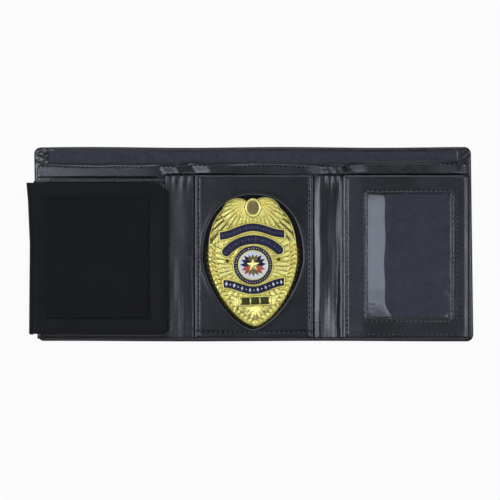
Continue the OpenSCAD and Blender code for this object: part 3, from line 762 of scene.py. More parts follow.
# Half width, height over and under the middle, and how full the upper and the lower part are
BADGE_OUTLINE = (25.0, 32.6, 37.7, 2.6, 1.6)
RECESS_OUTLINE = (27.9, 35.5, 39.2, 2.25, 1.55)
# The window's clear opening is the vinyl less its lap
VINYL_LAP, HOLE_STITCH, HOLE_CORNER = 4.5, 1.6, 1.2
HOLE_LOW, HOLE_HIGH = VINYL_LOW + VINYL_LAP, VINYL_HIGH - VINYL_LAP


def panel_loops(low, high, inner, in_steps, middle):
    """Loops from the cut-out's edge to the panel's edge; inner gives the cut-out's loop at a distance out."""
    near = [inner(d) for d in in_steps]
    far = [rounded_loop(low, high, d, PANEL_CORNER) for d in reversed(OUT_STEPS)]
    between = [near[-1] + (far[0] - near[-1]) * s for s in np.linspace(0, 1, middle + 2)[1:-1]]
    return np.array(near + between + far)


def outline_radius(angle, outline=BADGE_OUTLINE, grow=0.0):
    """Distance from the badge's middle to a smooth outline, grown by grow."""
    half, up, down, full_up, full_down = outline
    c, s = np.abs(np.cos(angle)), np.sin(angle)
    power = np.where(s >= 0, full_up, full_down)
    tall = np.where(s >= 0, up, down) + grow
    return ((c / (half + grow)) ** power + (np.abs(s) / tall) ** power) ** (-1 / power)


def add_badge_panel():
    low, high = PANEL_LOW, PANEL_HIGH
    edge = rounded_loop(low, high, 0, PANEL_CORNER) - (BADGE_X, BADGE_Y)
    angles = np.arctan2(edge[:, 1], edge[:, 0])

    def recess(d):
        r = outline_radius(angles, RECESS_OUTLINE, d)
        return np.stack([BADGE_X + r * np.cos(angles), BADGE_Y + r * np.sin(angles)], -1)

    loops = panel_loops(low, high, recess, RECESS_STEPS, 12)
    x, y = loops[..., 0], loops[..., 1]
    left, right, below, _ = side_gaps(x, y, low, high)
    cut = np.hypot(x - BADGE_X, y - BADGE_Y) - outline_radius(np.arctan2(y - BADGE_Y, x - BADGE_X), RECESS_OUTLINE)
    face = high[2] + 0.35 * ripple(41, 30, 0.14)(x, y) + 0.5 * fine(x, y)
    face = face - turned_edge(inset(x, y, low, high), PANEL_T) - 0.3 * edge_fall(cut, 0.5)
    face = face + seam(np.minimum(left, right)) + seam(below, LOW_STITCH_IN) + 0.14 * bump(cut, 1.2, 0.9)
    made = ring_solid("badge_panel_skin", loops, face, np.full(x.shape, high[2] - PANEL_T), PANEL_LEATHER)
    # The three bands next to the cut-out take the paler grey
    cut_bands, faces_per_band = 3, 2 * x.shape[1]
    repaint(made, PALE_RECESS_RIM, range(cut_bands * faces_per_band))
    carried(made, "centre", "badge_panel")
    left, right, below, top = low[0] + STITCH_IN, high[0] - STITCH_IN, low[1] + LOW_STITCH_IN, high[1] - ROW_TOP
    row = [(left, top), (left, below), (right, below), (right, top)]
    rows = [(pair, high[2] - PANEL_STITCH_DEPTH) for pair in zip(row, row[1:])]
    carried(stitches("badge_panel_thread", rows, **PANEL_STITCH), "centre")


def window_lift(x):
    """The panel's leather rises from its sewn edge to the window and settles towards the wallet's end."""
    start, wide = WINDOW_LOW[0] + 3.0, 8.5
    rise = np.clip((x - start) / wide, 0, 1)
    return (0.4 * rise - 0.25) * (1 - 0.85 * smooth(x, start + wide, WINDOW_HIGH[0] - 5))


def window_thread_level(x, y):
    return WINDOW_HIGH[2] - PANEL_STITCH_DEPTH + window_lift(x)


def add_window_panel():
    low, high = WINDOW_LOW, WINDOW_HIGH
    loops = panel_loops(low, high, lambda d: rounded_loop(HOLE_LOW, HOLE_HIGH, -d, HOLE_CORNER), HOLE_STEPS, 8)
    x, y = loops[..., 0], loops[..., 1]
    left, right, _, _ = side_gaps(x, y, low, high)
    cut = -inset(x, y, HOLE_LOW, HOLE_HIGH)
    face = high[2] + 0.4 * ripple(43, 34, 0.16)(x, y) + 0.6 * fine(x, y) + window_lift(x)
    face = face - turned_edge(inset(x, y, low, high), PANEL_T, slope=0.24) - 0.3 * edge_fall(cut, 0.4)
    face = face + seam(left) - 0.2 * bump(cut, HOLE_STITCH, 0.35) + 0.1 * bump(cut, 0.8, 0.4)
    face = face - 0.28 * np.clip(2.9 - right, 0, 2.6) * (1 - edge_fall(right, 0.3))
    made = ring_solid("window_panel_skin", loops, face, np.full(x.shape, high[2] - PANEL_T - 0.5), LEATHER)
    carried(made, "right_panel", "window_panel")
    left, below = low[:2] + STITCH_IN
    rim = [(left, high[1] - ROW_TOP), (left, below), (high[0] - ROW_END, below)]
    (left, below), (right, above) = HOLE_LOW[:2] - HOLE_STITCH, HOLE_HIGH[:2] + HOLE_STITCH
    hole = [(left, above), (left, below), (right, below), (right, above), (left, above)]
    second = [(right + SECOND_ROW, below), (right + SECOND_ROW, above)]
    rows = [(pair, window_thread_level) for pair in (*zip(rim, rim[1:]), *zip(hole, hole[1:]), second)]
    carried(stitches("window_panel_thread", rows, **PANEL_STITCH), "right_panel")


BAND_W, BAND_EASE, BAND_SLOPE = 9.4, 0.9, math.tan(math.radians(6.6))
VINYL_T = 0.2
vinyl_wave, vinyl_small = ripple(51, 34, 0.13), ripple(53, 12, 0.03)


def vinyl_shape(x, y):
    """The clear vinyl lies loosely: a strip at its left side tilts, the rest waves gently."""
    left, right, below, above = side_gaps(x, y, HOLE_LOW, HOLE_HIGH)
    share = above / (HOLE_HIGH[1] - HOLE_LOW[1])
    band = BAND_W + 0.35 * np.sin(y / 8.0) + 0.25 * np.sin(y / 3.7 + 1) + 4.5 * smooth(share, 0.86, 1.05)
    past = left - band
    up = BAND_SLOPE * np.clip(band + 0.5 * (past - np.sqrt(past**2 + BAND_EASE**2)), 0, None)
    down = np.clip(past / (HOLE_HIGH[0] - HOLE_LOW[0] - band), 0, 1)
    dz = up * (1 - 0.9 * down) + smooth(past, -0.5, 5.0) * (vinyl_wave(x, y) + vinyl_small(x, y))
    inside = smooth(left, -1.0, 0.2) * smooth(right, -1.2, -0.3) * smooth(below, -1.4, -0.5) * smooth(above, -1.4, -0.5)
    return 0, 0, dz * inside - 0.05


def add_window():
    grid = even_lines(VINYL_LOW, VINYL_HIGH, 0.45, 0.9)
    made = sheet("window_vinyl_skin", *grid, VINYL_LOW[2] + 0.08, VINYL_T, VINYL, "clear_vinyl", rolled="",
                 shape=vinyl_shape)
    carried(made, "right_panel", "window_vinyl")
    plain_cloth("window_backing_skin", "window_backing", 0.25, 2.0, lambda x, y: (0, 0, 0.1 * slow(x, y) - 0.03),
                (WINDOW_CLOTH, "cloth"), "right_panel")


# Card pockets and the strip that the flap hangs on


def add_pocket(word, seed):
    """One card pocket with a full lip; gives its row of thread."""
    low, high = span(f"card_pocket_{word}")
    sag = ripple(seed, 30, 0.05)

    def shape(x, y):
        down = high[1] - y
        dy = -0.25 * smooth(y, high[1] - 8, high[1]) * np.cos((x + 85) / 35.0 * np.pi / 2)
        lip = 0.12 * bump(down, 1.2, 1.0) - 0.16 * bump(down, STITCH_IN, 0.45)
        return leaning(x, y), dy, sag(x, y) + lip + 0.35 * fine(x, y)

    ys = lines((low[1], high[1] - 5, 3.0), (high[1] - 5, high[1], 0.35))
    node_sheet(f"card_pocket_{word}_skin", f"card_pocket_{word}", "left_panel", lines((low[0], high[0], 1.2)), ys,
               LEATHER, "leather", rolled="t", edge=0.6, shape=shape)
    x, y = np.linspace(low[0] + 1, high[0] - 1, 60), np.full(60, high[1] - STITCH_IN)
    dx, dy, _ = shape(x, y)
    return np.stack([x + dx, y + dy], -1), lambda x, y: high[2] + shape(x, y)[2] + 0.02


def add_pockets():
    rows = [add_pocket(word, 61 + i) for i, word in enumerate(("back", "middle", "front"))]
    edge, top = -FOLD_OUT - 1.6, span("card_pocket_front")[1]
    rows.append(([(edge, top[1] - 4), (edge, PANEL_LOW_Y + 2)], top[2] - 0.02))
    carried(stitches("pocket_thread", rows), "left_panel")


def add_flap_strip():
    low, high = span("flap_hinge_strip")

    def shape(x, y):
        return 1.4 * leaning(x, y), -1.3 * smooth(y, high[1] - 6, high[1]), 0.5 * fine(x, y) - 0.3

    node_sheet("flap_strip_skin", "flap_hinge_strip", "left_panel", *even_lines(low, high, 0.7, 1.5), LEATHER,
               "leather", rolled="lt", shape=shape)


# ID flap

FLAP_STITCH, FLAP_BORDER, FLAP_REACH = 1.6, 8.0, 2.2
FLAP_CORNER, FLAP_CLIP = 4.0, (5.0, 4.0)
FRAME_W = 9.0
FRAME_STEPS = (0.0, 0.05, 0.2, 0.5, 1.1, 1.5, 1.9, 2.6, 4.5, 6.2, 6.7, 7.0, 7.3, 7.9, 8.4, 8.75, 8.93, FRAME_W)
FRAME_STITCHES = (1.7, 7.0)
HINGE_EDGE = ((-50, 0, 24, 34), (-124.8, -124.4, -125.4, -126.3))


def flap_loop(far):
    """Places round the flap's frame, far in from its edge, from the hinge side's top on, counter-clockwise."""
    (x0, y0), (x1, y1) = FLAP_LOW[:2] + far, FLAP_HIGH[:2] - far
    r = max(1.0, FLAP_CORNER - 0.45 * far)
    cut_x, cut_y = (max(1.0, c - 0.35 * far) for c in FLAP_CLIP)
    nx, ny = (round((FLAP_HIGH[i] - FLAP_LOW[i]) / 1.2) for i in (0, 1))
    arc = np.radians(np.linspace(270, 360, 7)[:-1])
    straight = (((x0, y1), (x0, y0), ny), ((x0, y0), (x1 - r, y0), nx), ((x1, y0 + r), (x1, y1 - cut_y), ny),
                ((x1, y1 - cut_y), (x1 - cut_x, y1), 7), ((x1 - cut_x, y1), (x0, y1), nx))
    runs = [np.linspace(a, b, n, endpoint=False) for a, b, n in straight]
    corner = np.stack([x1 - r + r * np.cos(arc), y0 + r + r * np.sin(arc)], -1)
    return np.concatenate([*runs[:2], corner, *runs[2:]])


def flap_wave(x, y):
    """The flap lies a little uneven, and its free end dips."""
    far = (x - FLAP_LOW[0]) / (FLAP_HIGH[0] - FLAP_LOW[0])
    return 0.12 * np.sin(x / 19.0 + 0.4) * np.sin(y / 23.0) * far


def hinge_lean(x, y):
    """The flap's rolled edge leans out towards its top."""
    return (np.interp(y, *HINGE_EDGE) - ROLL_LOW[0]) * smooth(-x, -FLAP_LOW[0] - 9, -ROLL_LOW[0])


def flap_shape(x, y):
    """The back leather: its border is turned in and fades towards the middle, and it rolls down at the hinge."""
    low, high = FLAP_LOW, FLAP_HIGH
    left, *others = side_gaps(x, y, low, high)
    free = np.minimum.reduce(others)
    over = np.clip((low[0] + 2 - x) / (low[0] + 2 - ROLL_LOW[0]), 0, 0.99)
    dz = (high[2] - ROLL_Z) * (np.sqrt(1 - over**2) - 1) - 0.5 * smooth(np.minimum(left, free), 3.5, FLAP_BORDER + 1)
    dz = dz + flap_wave(x, y) + 0.5 * fine(x, y) - 0.12 * bump(free, FLAP_STITCH, 0.35)
    top_corner = corner_shift(x, y, (high[0], high[1]), (1, 1), (6.4, 5.0), cut=True)
    low_corner = corner_shift(x, y, (high[0], low[1]), (1, -1), (3.5, 3.5))
    reach = FLAP_REACH * np.clip(left / (high[0] - low[0]), 0, 1)
    return reach + top_corner[0] + low_corner[0] + hinge_lean(x, y), top_corner[1] + low_corner[1], dz


def add_flap_back():
    low, high = FLAP_LOW, FLAP_HIGH
    xs = lines((ROLL_LOW[0], low[0] + 3, 0.4), (low[0] + 3, high[0] - 7, 1.2), (high[0] - 7, high[0], 0.6))
    ys = lines((low[1], low[1] + 9, 0.7), (low[1] + 9, high[1] - 9, 1.5), (high[1] - 9, high[1], 0.6))
    node_sheet("flap_back_skin", "flap_back", "id_flap", xs, ys, MATTE, "matte_leather", edge=0.7, rolled="rbt",
               shape=flap_shape, flat_below=True, least=0.45)


def add_flap_lining():
    low, high = span("flap_lining")
    sag, nap = ripple(73, 24, 0.08), ripple(75, 9, 0.025)

    def shape(x, y):
        inside = inset(x, y, low, high)
        rim = 0.22 * (1 - smooth(inside, 0, 2.2))
        return 0, 0, (sag(x, y) + nap(x, y)) * smooth(inside, 0, 6) + flap_wave(x, y) + 0.05 - rim

    plain_cloth("flap_lining_cloth", "flap_lining", 0.2, 0.9, shape, (FELT, "flap_cloth"), "id_flap")


def add_flap_thread():
    """The flap's seam runs round its free sides."""
    (near_x, low_y), (far_x, far_y) = FLAP_LOW[:2] + (4, FLAP_STITCH), FLAP_HIGH[:2] - FLAP_STITCH + (FLAP_REACH, 0)
    row = [(near_x, low_y), (far_x - 2, low_y), (far_x, low_y + 2), (far_x, far_y - 4.2), (far_x - 5, far_y),
           (near_x, far_y)]
    rows = [(row, lambda x, y: FLAP_HIGH[2] + flap_wave(x, y) - 0.16)]
    carried(stitches("flap_thread", rows, MATTE, "matte_leather", width=0.42, rise=0.1), "id_flap")


def add_roll():
    """The roll that the flap hangs on; its ends stand out as small ears."""
    n, around = 60, 20
    s, w = np.linspace(0, 1, n), np.linspace(0, 2 * np.pi, around)
    r = 1.35 * (1 - 0.3 * np.exp(-s / 0.01) - 0.3 * np.exp(-(1 - s) / 0.01))[:, None]
    y = ROLL_LOW[1] - 0.4 + s * (ROLL_HIGH[1] - ROLL_LOW[1] + 0.5)
    x = np.interp(y, *HINGE_EDGE)[:, None] + 1.45 + r * np.cos(w)
    verts = np.stack([x, y[:, None] + 0 * x, ROLL_Z + r * np.sin(w)], -1).reshape(-1, 3)
    ends = [list(range(around - 1)), [(n - 1) * around + i for i in reversed(range(around - 1))]]
    roll = new_object("flap_roll_skin", verts, grid_faces(n, around) + ends, MATTE)
    carried(roll, "id_flap", "flap_hinge_roll")


def add_flap_frame():
    """The frame on the flap's hidden side, with its stitches below it."""
    loops = np.array([flap_loop(d) for d in reversed(FRAME_STEPS)])
    depth = np.array(FRAME_STEPS[::-1])[:, None] + 0 * loops[..., 0]
    low, high = (corner[2] for corner in span("flap_frame"))
    face = low + 0.45 * edge_fall(depth, 1.0) + 0.35 * edge_fall(FRAME_W - depth, 0.7)
    face = face + 0.3 * np.abs(fine(loops[..., 0], loops[..., 1]))
    face = face + sum(0.12 * bump(depth, at, 0.35) for at in FRAME_STITCHES)
    made = ring_solid("flap_frame_skin", loops, np.full(depth.shape, high), face, LEATHER)
    carried(made, "id_flap", "flap_frame")
    row = stitches("flap_frame_thread", [(flap_loop(at), 0) for at in FRAME_STITCHES])
    co = np.array([v.co for v in row.data.vertices])
    co[:, 2] = (low + 0.06) * MM - co[:, 2]
    row.data.vertices.foreach_set("co", co.ravel())
    row.data.flip_normals()
    carried(row, "id_flap")


def add_flap_window():
    low, high = span("flap_window")
    margin, wave = 1.5, ripple(81, 26, 0.1)
    clear = sheet("flap_window_skin", *even_lines(low + margin, high - margin, 1.0, 1.0), low[2] + 0.05, VINYL_T, VINYL,
                  "clear_vinyl", rolled="", corner=3.5,
                  shape=lambda x, y: (0, 0, -np.abs(wave(x, y)) * smooth(inset(x, y, low, high), 8, 16) * 1.6))
    carried(clear, "id_flap", "flap_window")


# Badge: u runs across and v up from its middle, before it is turned

BORDER = 0.6
BADGE_TURN = math.radians(2.0)
SEAL_U, SEAL_V, SEAL_R, DISC_R = 0.0, -3.6, 11.2, 7.8
MEDAL_U, MEDAL_V, MEDAL_R, MEDAL_TALL = 1.0, 28.24, 3.8, 1.18
LOBE_U, LOBE_V, LOBE_R = 7.6, 25.0, 9.2
RAYS, ROPE_TURNS, RING_STUDS, RING_STUD_R = 22, 84, 42, 9.5
# A banner's half length, the heights of its middle and of its ends, and its width
TOP_BANNER = (17.9, 17.4, 13.2, 4.2)
LOW_BANNER = (16.8, -17.5, -13.4, 4.2)
ARC_R, ARC_V, ARC_REACH, ARC_W = 19.8, 10.6, math.radians(47), 4.9
PLATE_U, PLATE_V, PLATE_W, PLATE_H = 0.4, -23.4, 16.5, 4.0
LEAF_PITCH, LEAF_RISE, LEAF_BAND, LEAF_VEIN = 2.8, 0.95, 4.3, 2.1
# Rows of a wing's feathers: how far they reach, the turn that each takes up, and the row's level
FEATHERS = ((30.0, 8.0, 0.0), (16.5, 11.0, 0.16), (9.0, 16.0, 0.3))
PITS = ((9.3, 4.9), (7.4, 6.3))
# Turns of the leaves beside and under the number plate, and their length and width
SPRAYS, SPRAY_LEAF, SPRAY_WIDE = ((1, (28, -8, -40)), (-1, (152, 188, 220))), 5.8, 2.1
FAN, FAN_LEAF, FAN_WIDE = (-20, -46, -70, -110, -134, -160), 8.8, 1.7


def placed(u, v):
    """Places on the badge, which sits a little turned in its cut-out."""
    c, s = math.cos(BADGE_TURN), math.sin(BADGE_TURN)
    return BADGE_X + u * c - v * s, BADGE_Y + u * s + v * c


def crown(u, v):
    """The badge is slightly domed."""
    return 0.12 * np.clip(1 - (u / 26) ** 2 - (v / 38) ** 2, 0, 1)


def ribbon_line(u, banner):
    half, middle, end, _ = banner
    return end + (middle - end) * (1 + np.cos(np.pi * np.clip(u / half, -1, 1))) / 2


def ribbon_turn(u, banner):
    """The angle at which a ribbon runs."""
    half, middle, end, _ = banner
    return np.arctan((end - middle) * np.pi / 2 / half * np.sin(np.pi * np.clip(u / half, -1, 1)))


def ribbon_gap(u, v, banner):
    """Distance out from a ribbon's edge; negative inside."""
    half, _, _, width = banner
    square = np.abs(v - ribbon_line(u, banner)) * np.cos(ribbon_turn(u, banner))
    return np.maximum(square - width / 2, np.abs(u) - half)


def arc_place(turn, r=ARC_R):
    return r * np.sin(turn), ARC_V - ARC_R + r * np.cos(turn)


def arc_gap(u, v):
    """Distance out from the round-ended middle banner; negative inside."""
    mid_u, mid_v = arc_place(np.clip(np.arctan2(u, v - ARC_V + ARC_R), -ARC_REACH, ARC_REACH))
    return np.hypot(u - mid_u, v - mid_v) - ARC_W / 2


def plate_gap(u, v):
    return np.maximum(np.abs(u - PLATE_U) - PLATE_W / 2, np.abs(v - PLATE_V) - PLATE_H / 2)


def medal_distance(u, v):
    """Distance from the medallion's middle, with its tall oval drawn together to a circle."""
    return np.hypot(u - MEDAL_U, (v - MEDAL_V) / MEDAL_TALL)


def leaf_height(u, v, root, turn, length, width):
    """A veined leaf from its root in a direction: its height, from 0 to 1."""
    a = np.radians(turn)
    s = ((u - root[0]) * np.cos(a) + (v - root[1]) * np.sin(a)) / length
    t = -(u - root[0]) * np.sin(a) + (v - root[1]) * np.cos(a)
    half = width / 2 * np.sin(np.pi * np.clip(s, 0, 1)) ** 0.8 + 1e-6
    body = np.clip(1 - (t / half) ** 2, 0, 1) ** 0.5 * ((s > 0) & (s < 1))
    vein = 0.3 * bump(t, 0, 0.16) + 0.12 * (0.5 + 0.5 * np.cos((s * length - np.abs(t) * 0.9) * 2 * np.pi / 0.9))
    return np.clip(body - vein * (body > 0), 0, 1)


def feather_height(u, v, side):
    """Rows of overlapping feathers that fan out from the shoulder of one wing, cut apart by deep lines."""
    root_u, root_v = MEDAL_U + side * 3.4, MEDAL_V + 3.0
    a = np.degrees(np.arctan2(-(v - root_v), side * (u - root_u)))
    d = np.hypot(u - root_u, v - root_v)
    height = np.full(u.shape, -0.3)
    for reach, step, level in FEATHERS:
        part = (a + 35) / step
        across = 2 * (part - np.floor(part)) - 1
        tip = reach * (1 - 0.14 * across**2)
        barbs = 0.09 * np.cos((d - np.abs(across) * 1.6) * 2 * np.pi / 1.1)
        body = level + 0.66 * np.sqrt(np.clip(1 - across**2, 0, 1)) - 0.6 + 0.1 * bump(across, 0, 0.14) + barbs
        body = np.where(tip - d < 0.5, level - 0.4, body)
        height = np.where(d < tip, body, height)
    return height


def wing_height(u, v, inward, upper):
    """Wings over the upper field, and a bright bead along the shoulders."""
    above = v - ribbon_line(u, TOP_BANNER) - TOP_BANNER[3] / 2 - BORDER
    wings = np.where(u > MEDAL_U, feather_height(u, v, 1), feather_height(u, v, -1))
    over_banner = np.abs(u) < TOP_BANNER[0] + BORDER
    area = smooth(inward, 1.1, 1.6) * np.where(over_banner, smooth(above, 0.1, 0.5), upper)
    return wings * area + upper * (0.42 * hump(inward - 0.55, 0.9) - 0.25 * bump(inward, 1.25, 0.25))


def garland_height(inward, along):
    """Leaves along the lower edge, and a cord inside them."""
    part = along / LEAF_PITCH + np.abs(inward - LEAF_VEIN) / LEAF_PITCH * 0.9
    part = part - np.floor(part)
    leaf = np.sqrt(np.clip(1 - part, 0, 1)) * np.sin(np.pi * np.clip(inward / LEAF_BAND, 0, 1)) ** 0.5
    leaf = 0.85 * leaf - 0.6 * (bump(part, 0.0, 0.09) + bump(part, 1.0, 0.09)) + 0.16 * bump(inward, LEAF_VEIN, 0.2)
    twist = 0.5 + 0.5 * np.cos(along * 2 * np.pi / 0.95)
    cord = 0.3 * hump(inward - LEAF_BAND - 0.35, 0.7) * (0.5 + 0.5 * twist) - 0.2 * bump(inward, LEAF_BAND, 0.2)
    return (leaf - 0.1) * (inward < LEAF_BAND) * smooth(inward, 0.0, 0.5) + cord


def scroll_height(u, v):
    """Scrolls beside the seal, and small pits over it."""
    h = 0
    for side in (-1, 1):
        d = np.hypot(u - side * 14.2, v + 1.0)
        h = h + 0.5 * hump(d - 1.5, 0.8) - 0.7 * bump(d, 0, 0.8)
        for pit_u, pit_v in PITS:
            h = h - 0.6 * bump(np.hypot(u - side * pit_u, v - pit_v), 0, 0.5)
    return h


def with_foot(h, u, v, inward, ray):
    """Leaves, a post and two pillars round the number plate."""
    leaves = np.zeros(u.shape)
    for side, turns in SPRAYS:
        for turn in turns:
            root = (PLATE_U + side * (PLATE_W / 2 + 0.3), PLATE_V)
            leaves = np.maximum(leaves, leaf_height(u, v, root, turn, SPRAY_LEAF, SPRAY_WIDE))
    for turn in FAN:
        length = FAN_LEAF - 0.03 * abs(turn + 90)
        leaves = np.maximum(leaves, leaf_height(u, v, (PLATE_U, PLATE_V - 3.0), turn, length, FAN_WIDE))
    foot = (v < PLATE_V + 3) & (inward > LEAF_BAND - 0.4)
    around = foot & (np.abs(u - PLATE_U) < 14)
    h = np.where(around & (leaves > 0), FIELD + 0.6 * leaves, h)
    h = np.where(around & (leaves <= 0), np.minimum(h, FIELD - 0.2) + 0.12 * ray, h)
    post = hump(u - PLATE_U, 1.3) * (v < PLATE_V - 2) * (v > PLATE_V - 8.5)
    h = np.where(foot & (post > 0), FIELD + 0.1 + 0.55 * post, h)
    pillars = (np.abs(np.abs(u - PLATE_U) - PLATE_W / 2 - 1.1) < 0.45) & (np.abs(v - PLATE_V) < 2.6)
    return np.where(pillars, FIELD + 0.6, h)


def border_height(distance, width):
    """A raised border over its middle line."""
    return (BORDER_TOP - FIELD) * (0.35 + 0.65 * hump(distance, width))


def with_borders(h, u, v, seal_d, seal_a):
    """Raised borders, each round its enamel, with a deep line outside them, and a bed for the medallion."""
    for gap in (ribbon_gap(u, v, TOP_BANNER), arc_gap(u, v), ribbon_gap(u, v, LOW_BANNER), plate_gap(u, v)):
        h = np.where(gap < BORDER + 0.3, FIELD - 0.25, h)
        h = np.where((gap > -0.02) & (gap < BORDER), FIELD + border_height(gap - BORDER / 2, 0.8), h)
        h = np.where(gap <= -0.02, GLAZE_LOW, h)
    h = np.where(seal_d < SEAL_R + 0.3, FIELD - 0.2, h)
    rope = 0.5 + 0.5 * np.cos(seal_a * ROPE_TURNS + (seal_d - SEAL_R) * 3.0)
    for low, high, roped in ((SEAL_R - BORDER, SEAL_R + 0.1, 0.3), (DISC_R, DISC_R + BORDER, 0.0)):
        crest = border_height(seal_d - (low + high) / 2, high - low + 0.15) * (1 - roped * rope)
        h = np.where((seal_d >= low) & (seal_d <= high), FIELD + crest, h)
    return np.where(medal_distance(u, v) < MEDAL_R + BORDER + 0.25, np.minimum(h, FIELD - 0.3), h)


def relief_height(u, v, inward, along):
    """Height of the struck face over the badge's back, at a distance in from its outline and along it."""
    h = PLATE + (FIELD - PLATE) * smooth(inward, 0.0, 0.9) + ripple(91, 1.3, 0.1)(u, v) * smooth(inward, 1.0, 2.0)
    upper = smooth(v, 7, 11)
    seal_d, seal_a = np.hypot(u - SEAL_U, v - SEAL_V), np.arctan2(v - SEAL_V, u - SEAL_U)
    ray = np.abs(np.cos(seal_a * RAYS)) ** 0.8
    rayed = smooth(seal_d, SEAL_R + 0.4, SEAL_R + 1.2) * smooth(inward, LEAF_BAND + 0.2, LEAF_BAND + 0.8) * (1 - upper)
    h = h + (0.4 * ray - 0.23) * rayed + wing_height(u, v, inward, upper)
    h = h + (1 - upper) * garland_height(inward, along) + scroll_height(u, v)
    return with_borders(with_foot(h, u, v, inward, ray), u, v, seal_d, seal_a) + crown(u, v)


def top_radius(angle):
    """The outline with its two top lobes and the medallion's tall ring."""
    r = outline_radius(angle)
    c, s = np.cos(angle), np.sin(angle)
    medal = (MEDAL_U, MEDAL_V, MEDAL_R + BORDER, (MEDAL_R + BORDER) * MEDAL_TALL)
    for cu, cv, wide, tall in ((LOBE_U, LOBE_V, LOBE_R, LOBE_R), (-LOBE_U, LOBE_V, LOBE_R, LOBE_R), medal):
        a = (c / wide) ** 2 + (s / tall) ** 2
        b = cu * c / wide**2 + cv * s / tall**2
        inside = b**2 - a * ((cu / wide) ** 2 + (cv / tall) ** 2 - 1)
        reach = (b + np.sqrt(np.clip(inside, 0, None))) / a
        r = np.where((inside > 0) & (reach > r), reach, r)
    return r


def even_angles(n):
    """Angles that give n places at even steps round the outline, so that the leaves keep one size, and the
    distance of each along it from the foot."""
    tried = np.linspace(-np.pi / 2, 1.5 * np.pi, 4001)
    base = outline_radius(tried)
    run = np.concatenate([[0], np.cumsum(np.hypot(np.diff(base * np.cos(tried)), np.diff(base * np.sin(tried))))])
    at = np.linspace(0, run[-1], n, endpoint=False)
    return np.interp(at, run, tried), np.minimum(at, run[-1] - at)


def add_badge():
    n, near, far = 840, 5.5, 40.0
    angles, along = even_angles(n)
    radius = top_radius(angles)
    low_part = 1 - smooth(radius * np.sin(angles), 4, 11)
    leaf_edge = low_part * LEAF_RISE * np.abs(np.sin(np.pi * along / LEAF_PITCH)) ** 0.7
    radius = radius + leaf_edge
    # Turns a distance along the radius into one square to the outline
    around = outline_radius(angles) * np.gradient(np.unwrap(angles))
    square = around / np.hypot(np.gradient(outline_radius(angles)), around)
    loops, tops = [], []
    for d in np.concatenate([np.linspace(0, near, 40), np.linspace(near, far, 170)[1:-4]]):
        r = radius - d / square if d <= near else (radius - near / square) * (far - d) / (far - near)
        u, v = r * np.cos(angles), r * np.sin(angles)
        inward = np.maximum((radius - r) * square - leaf_edge * 0.5, 0)
        loops.append(np.stack(placed(u, v), -1))
        tops.append(BADGE_Z + (relief_height(u, v, inward, along) if d > 0 else np.full(n, PLATE - 0.15)))
    loops, tops = np.array(loops[::-1]), np.array(tops[::-1])
    made = ring_solid("badge_relief", loops, tops, np.full(tops.shape, BADGE_Z), GOLD, hub=True)
    carried(made, "centre", "badge_shield", "badge_wings")


# Enamel, plate, seal and small parts on the badge


def glaze(name, replaced, u, v, paint=BLUE, slot="enamel_blue"):
    """Enamel over a grid of places that runs along and across a banner; its edge climbs the border a little."""
    across = np.linspace(-1, 1, u.shape[1])
    top = BADGE_Z + GLAZE_TOP - 0.1 + crown(u, v) - 0.05 * (1 - across**4)
    made = solid_grid(name, *placed(u, v), top, np.full(u.shape, BADGE_Z + GLAZE_LOW), paint, slot)
    carried(made, "centre", replaced)


def ribbon_grid(banner):
    half, _, _, width = banner
    s, t = np.meshgrid(np.linspace(-half, half, 60), np.linspace(-width / 2, width / 2, 9), indexing="ij")
    return s, ribbon_line(s, banner) + t / np.cos(ribbon_turn(s, banner))


def arc_grid():
    end = math.asin(min(1, ARC_W / 2 / ARC_R))
    turn = np.linspace(-ARC_REACH - end, ARC_REACH + end, 70)[:, None]
    half = ARC_W / 2 * np.sqrt(1 - np.clip((np.abs(turn) - ARC_REACH) / end, 0, 0.995) ** 2)
    return arc_place(turn, ARC_R + half * np.linspace(-1, 1, 9))


def add_glazes():
    glaze("top_banner_glaze", "top_banner_enamel", *ribbon_grid(TOP_BANNER))
    glaze("lower_banner_glaze", "lower_banner_enamel", *ribbon_grid(LOW_BANNER))
    glaze("middle_banner_glaze", "middle_banner_enamel", *arc_grid())
    s, t = np.meshgrid(np.linspace(-0.5, 0.5, 34) * PLATE_W, np.linspace(-0.5, 0.5, 7) * PLATE_H, indexing="ij")
    glaze("number_plate_face", "number_plate", PLATE_U + s, PLATE_V + t, DARK_GOLD, "badge_dark_gold")


def seal_place(reach, turn):
    return SEAL_U + reach * np.cos(turn), SEAL_V + reach * np.sin(turn)


def seal_plate(name, replaced, radii, dips, paint, hub):
    """A round plate of enamel in the seal, dished by dips."""
    u, v = seal_place(np.array(radii)[:, None], np.linspace(0, 2 * np.pi, 97)[:-1])
    top = BADGE_Z + GLAZE_TOP - np.array(dips)[:, None] + crown(u, v)
    low = np.full(top.shape, BADGE_Z + GLAZE_LOW)
    carried(ring_solid(name, np.stack(placed(u, v), -1), top, low, paint, hub=hub), "centre", replaced)


def add_petals(name, turns, reach, width, rise, paint):
    """Pointed petals that lie on the seal's disc, with sharp edges."""
    verts, faces = [], []
    for t in np.radians(turns):
        first = len(verts)
        for s, w in ((1.2, 0.0), (reach * 0.62, width), (reach, 0.0), (reach * 0.62, -width)):
            u, v = seal_place(s, t)
            u, v = u - w * math.sin(t), v + w * math.cos(t)
            verts += [[*placed(u, v), BADGE_Z + GLAZE_TOP + up + crown(u, v)] for up in (rise, -0.1)]
        tops, lows = [list(range(first + side, first + 8, 2)) for side in (0, 1)]
        faces += [tops[::-1], lows] + [[tops[i], tops[(i + 1) % 4], lows[(i + 1) % 4], lows[i]] for i in range(4)]
    carried(new_object(name, verts, faces, paint, flat=True), "centre")


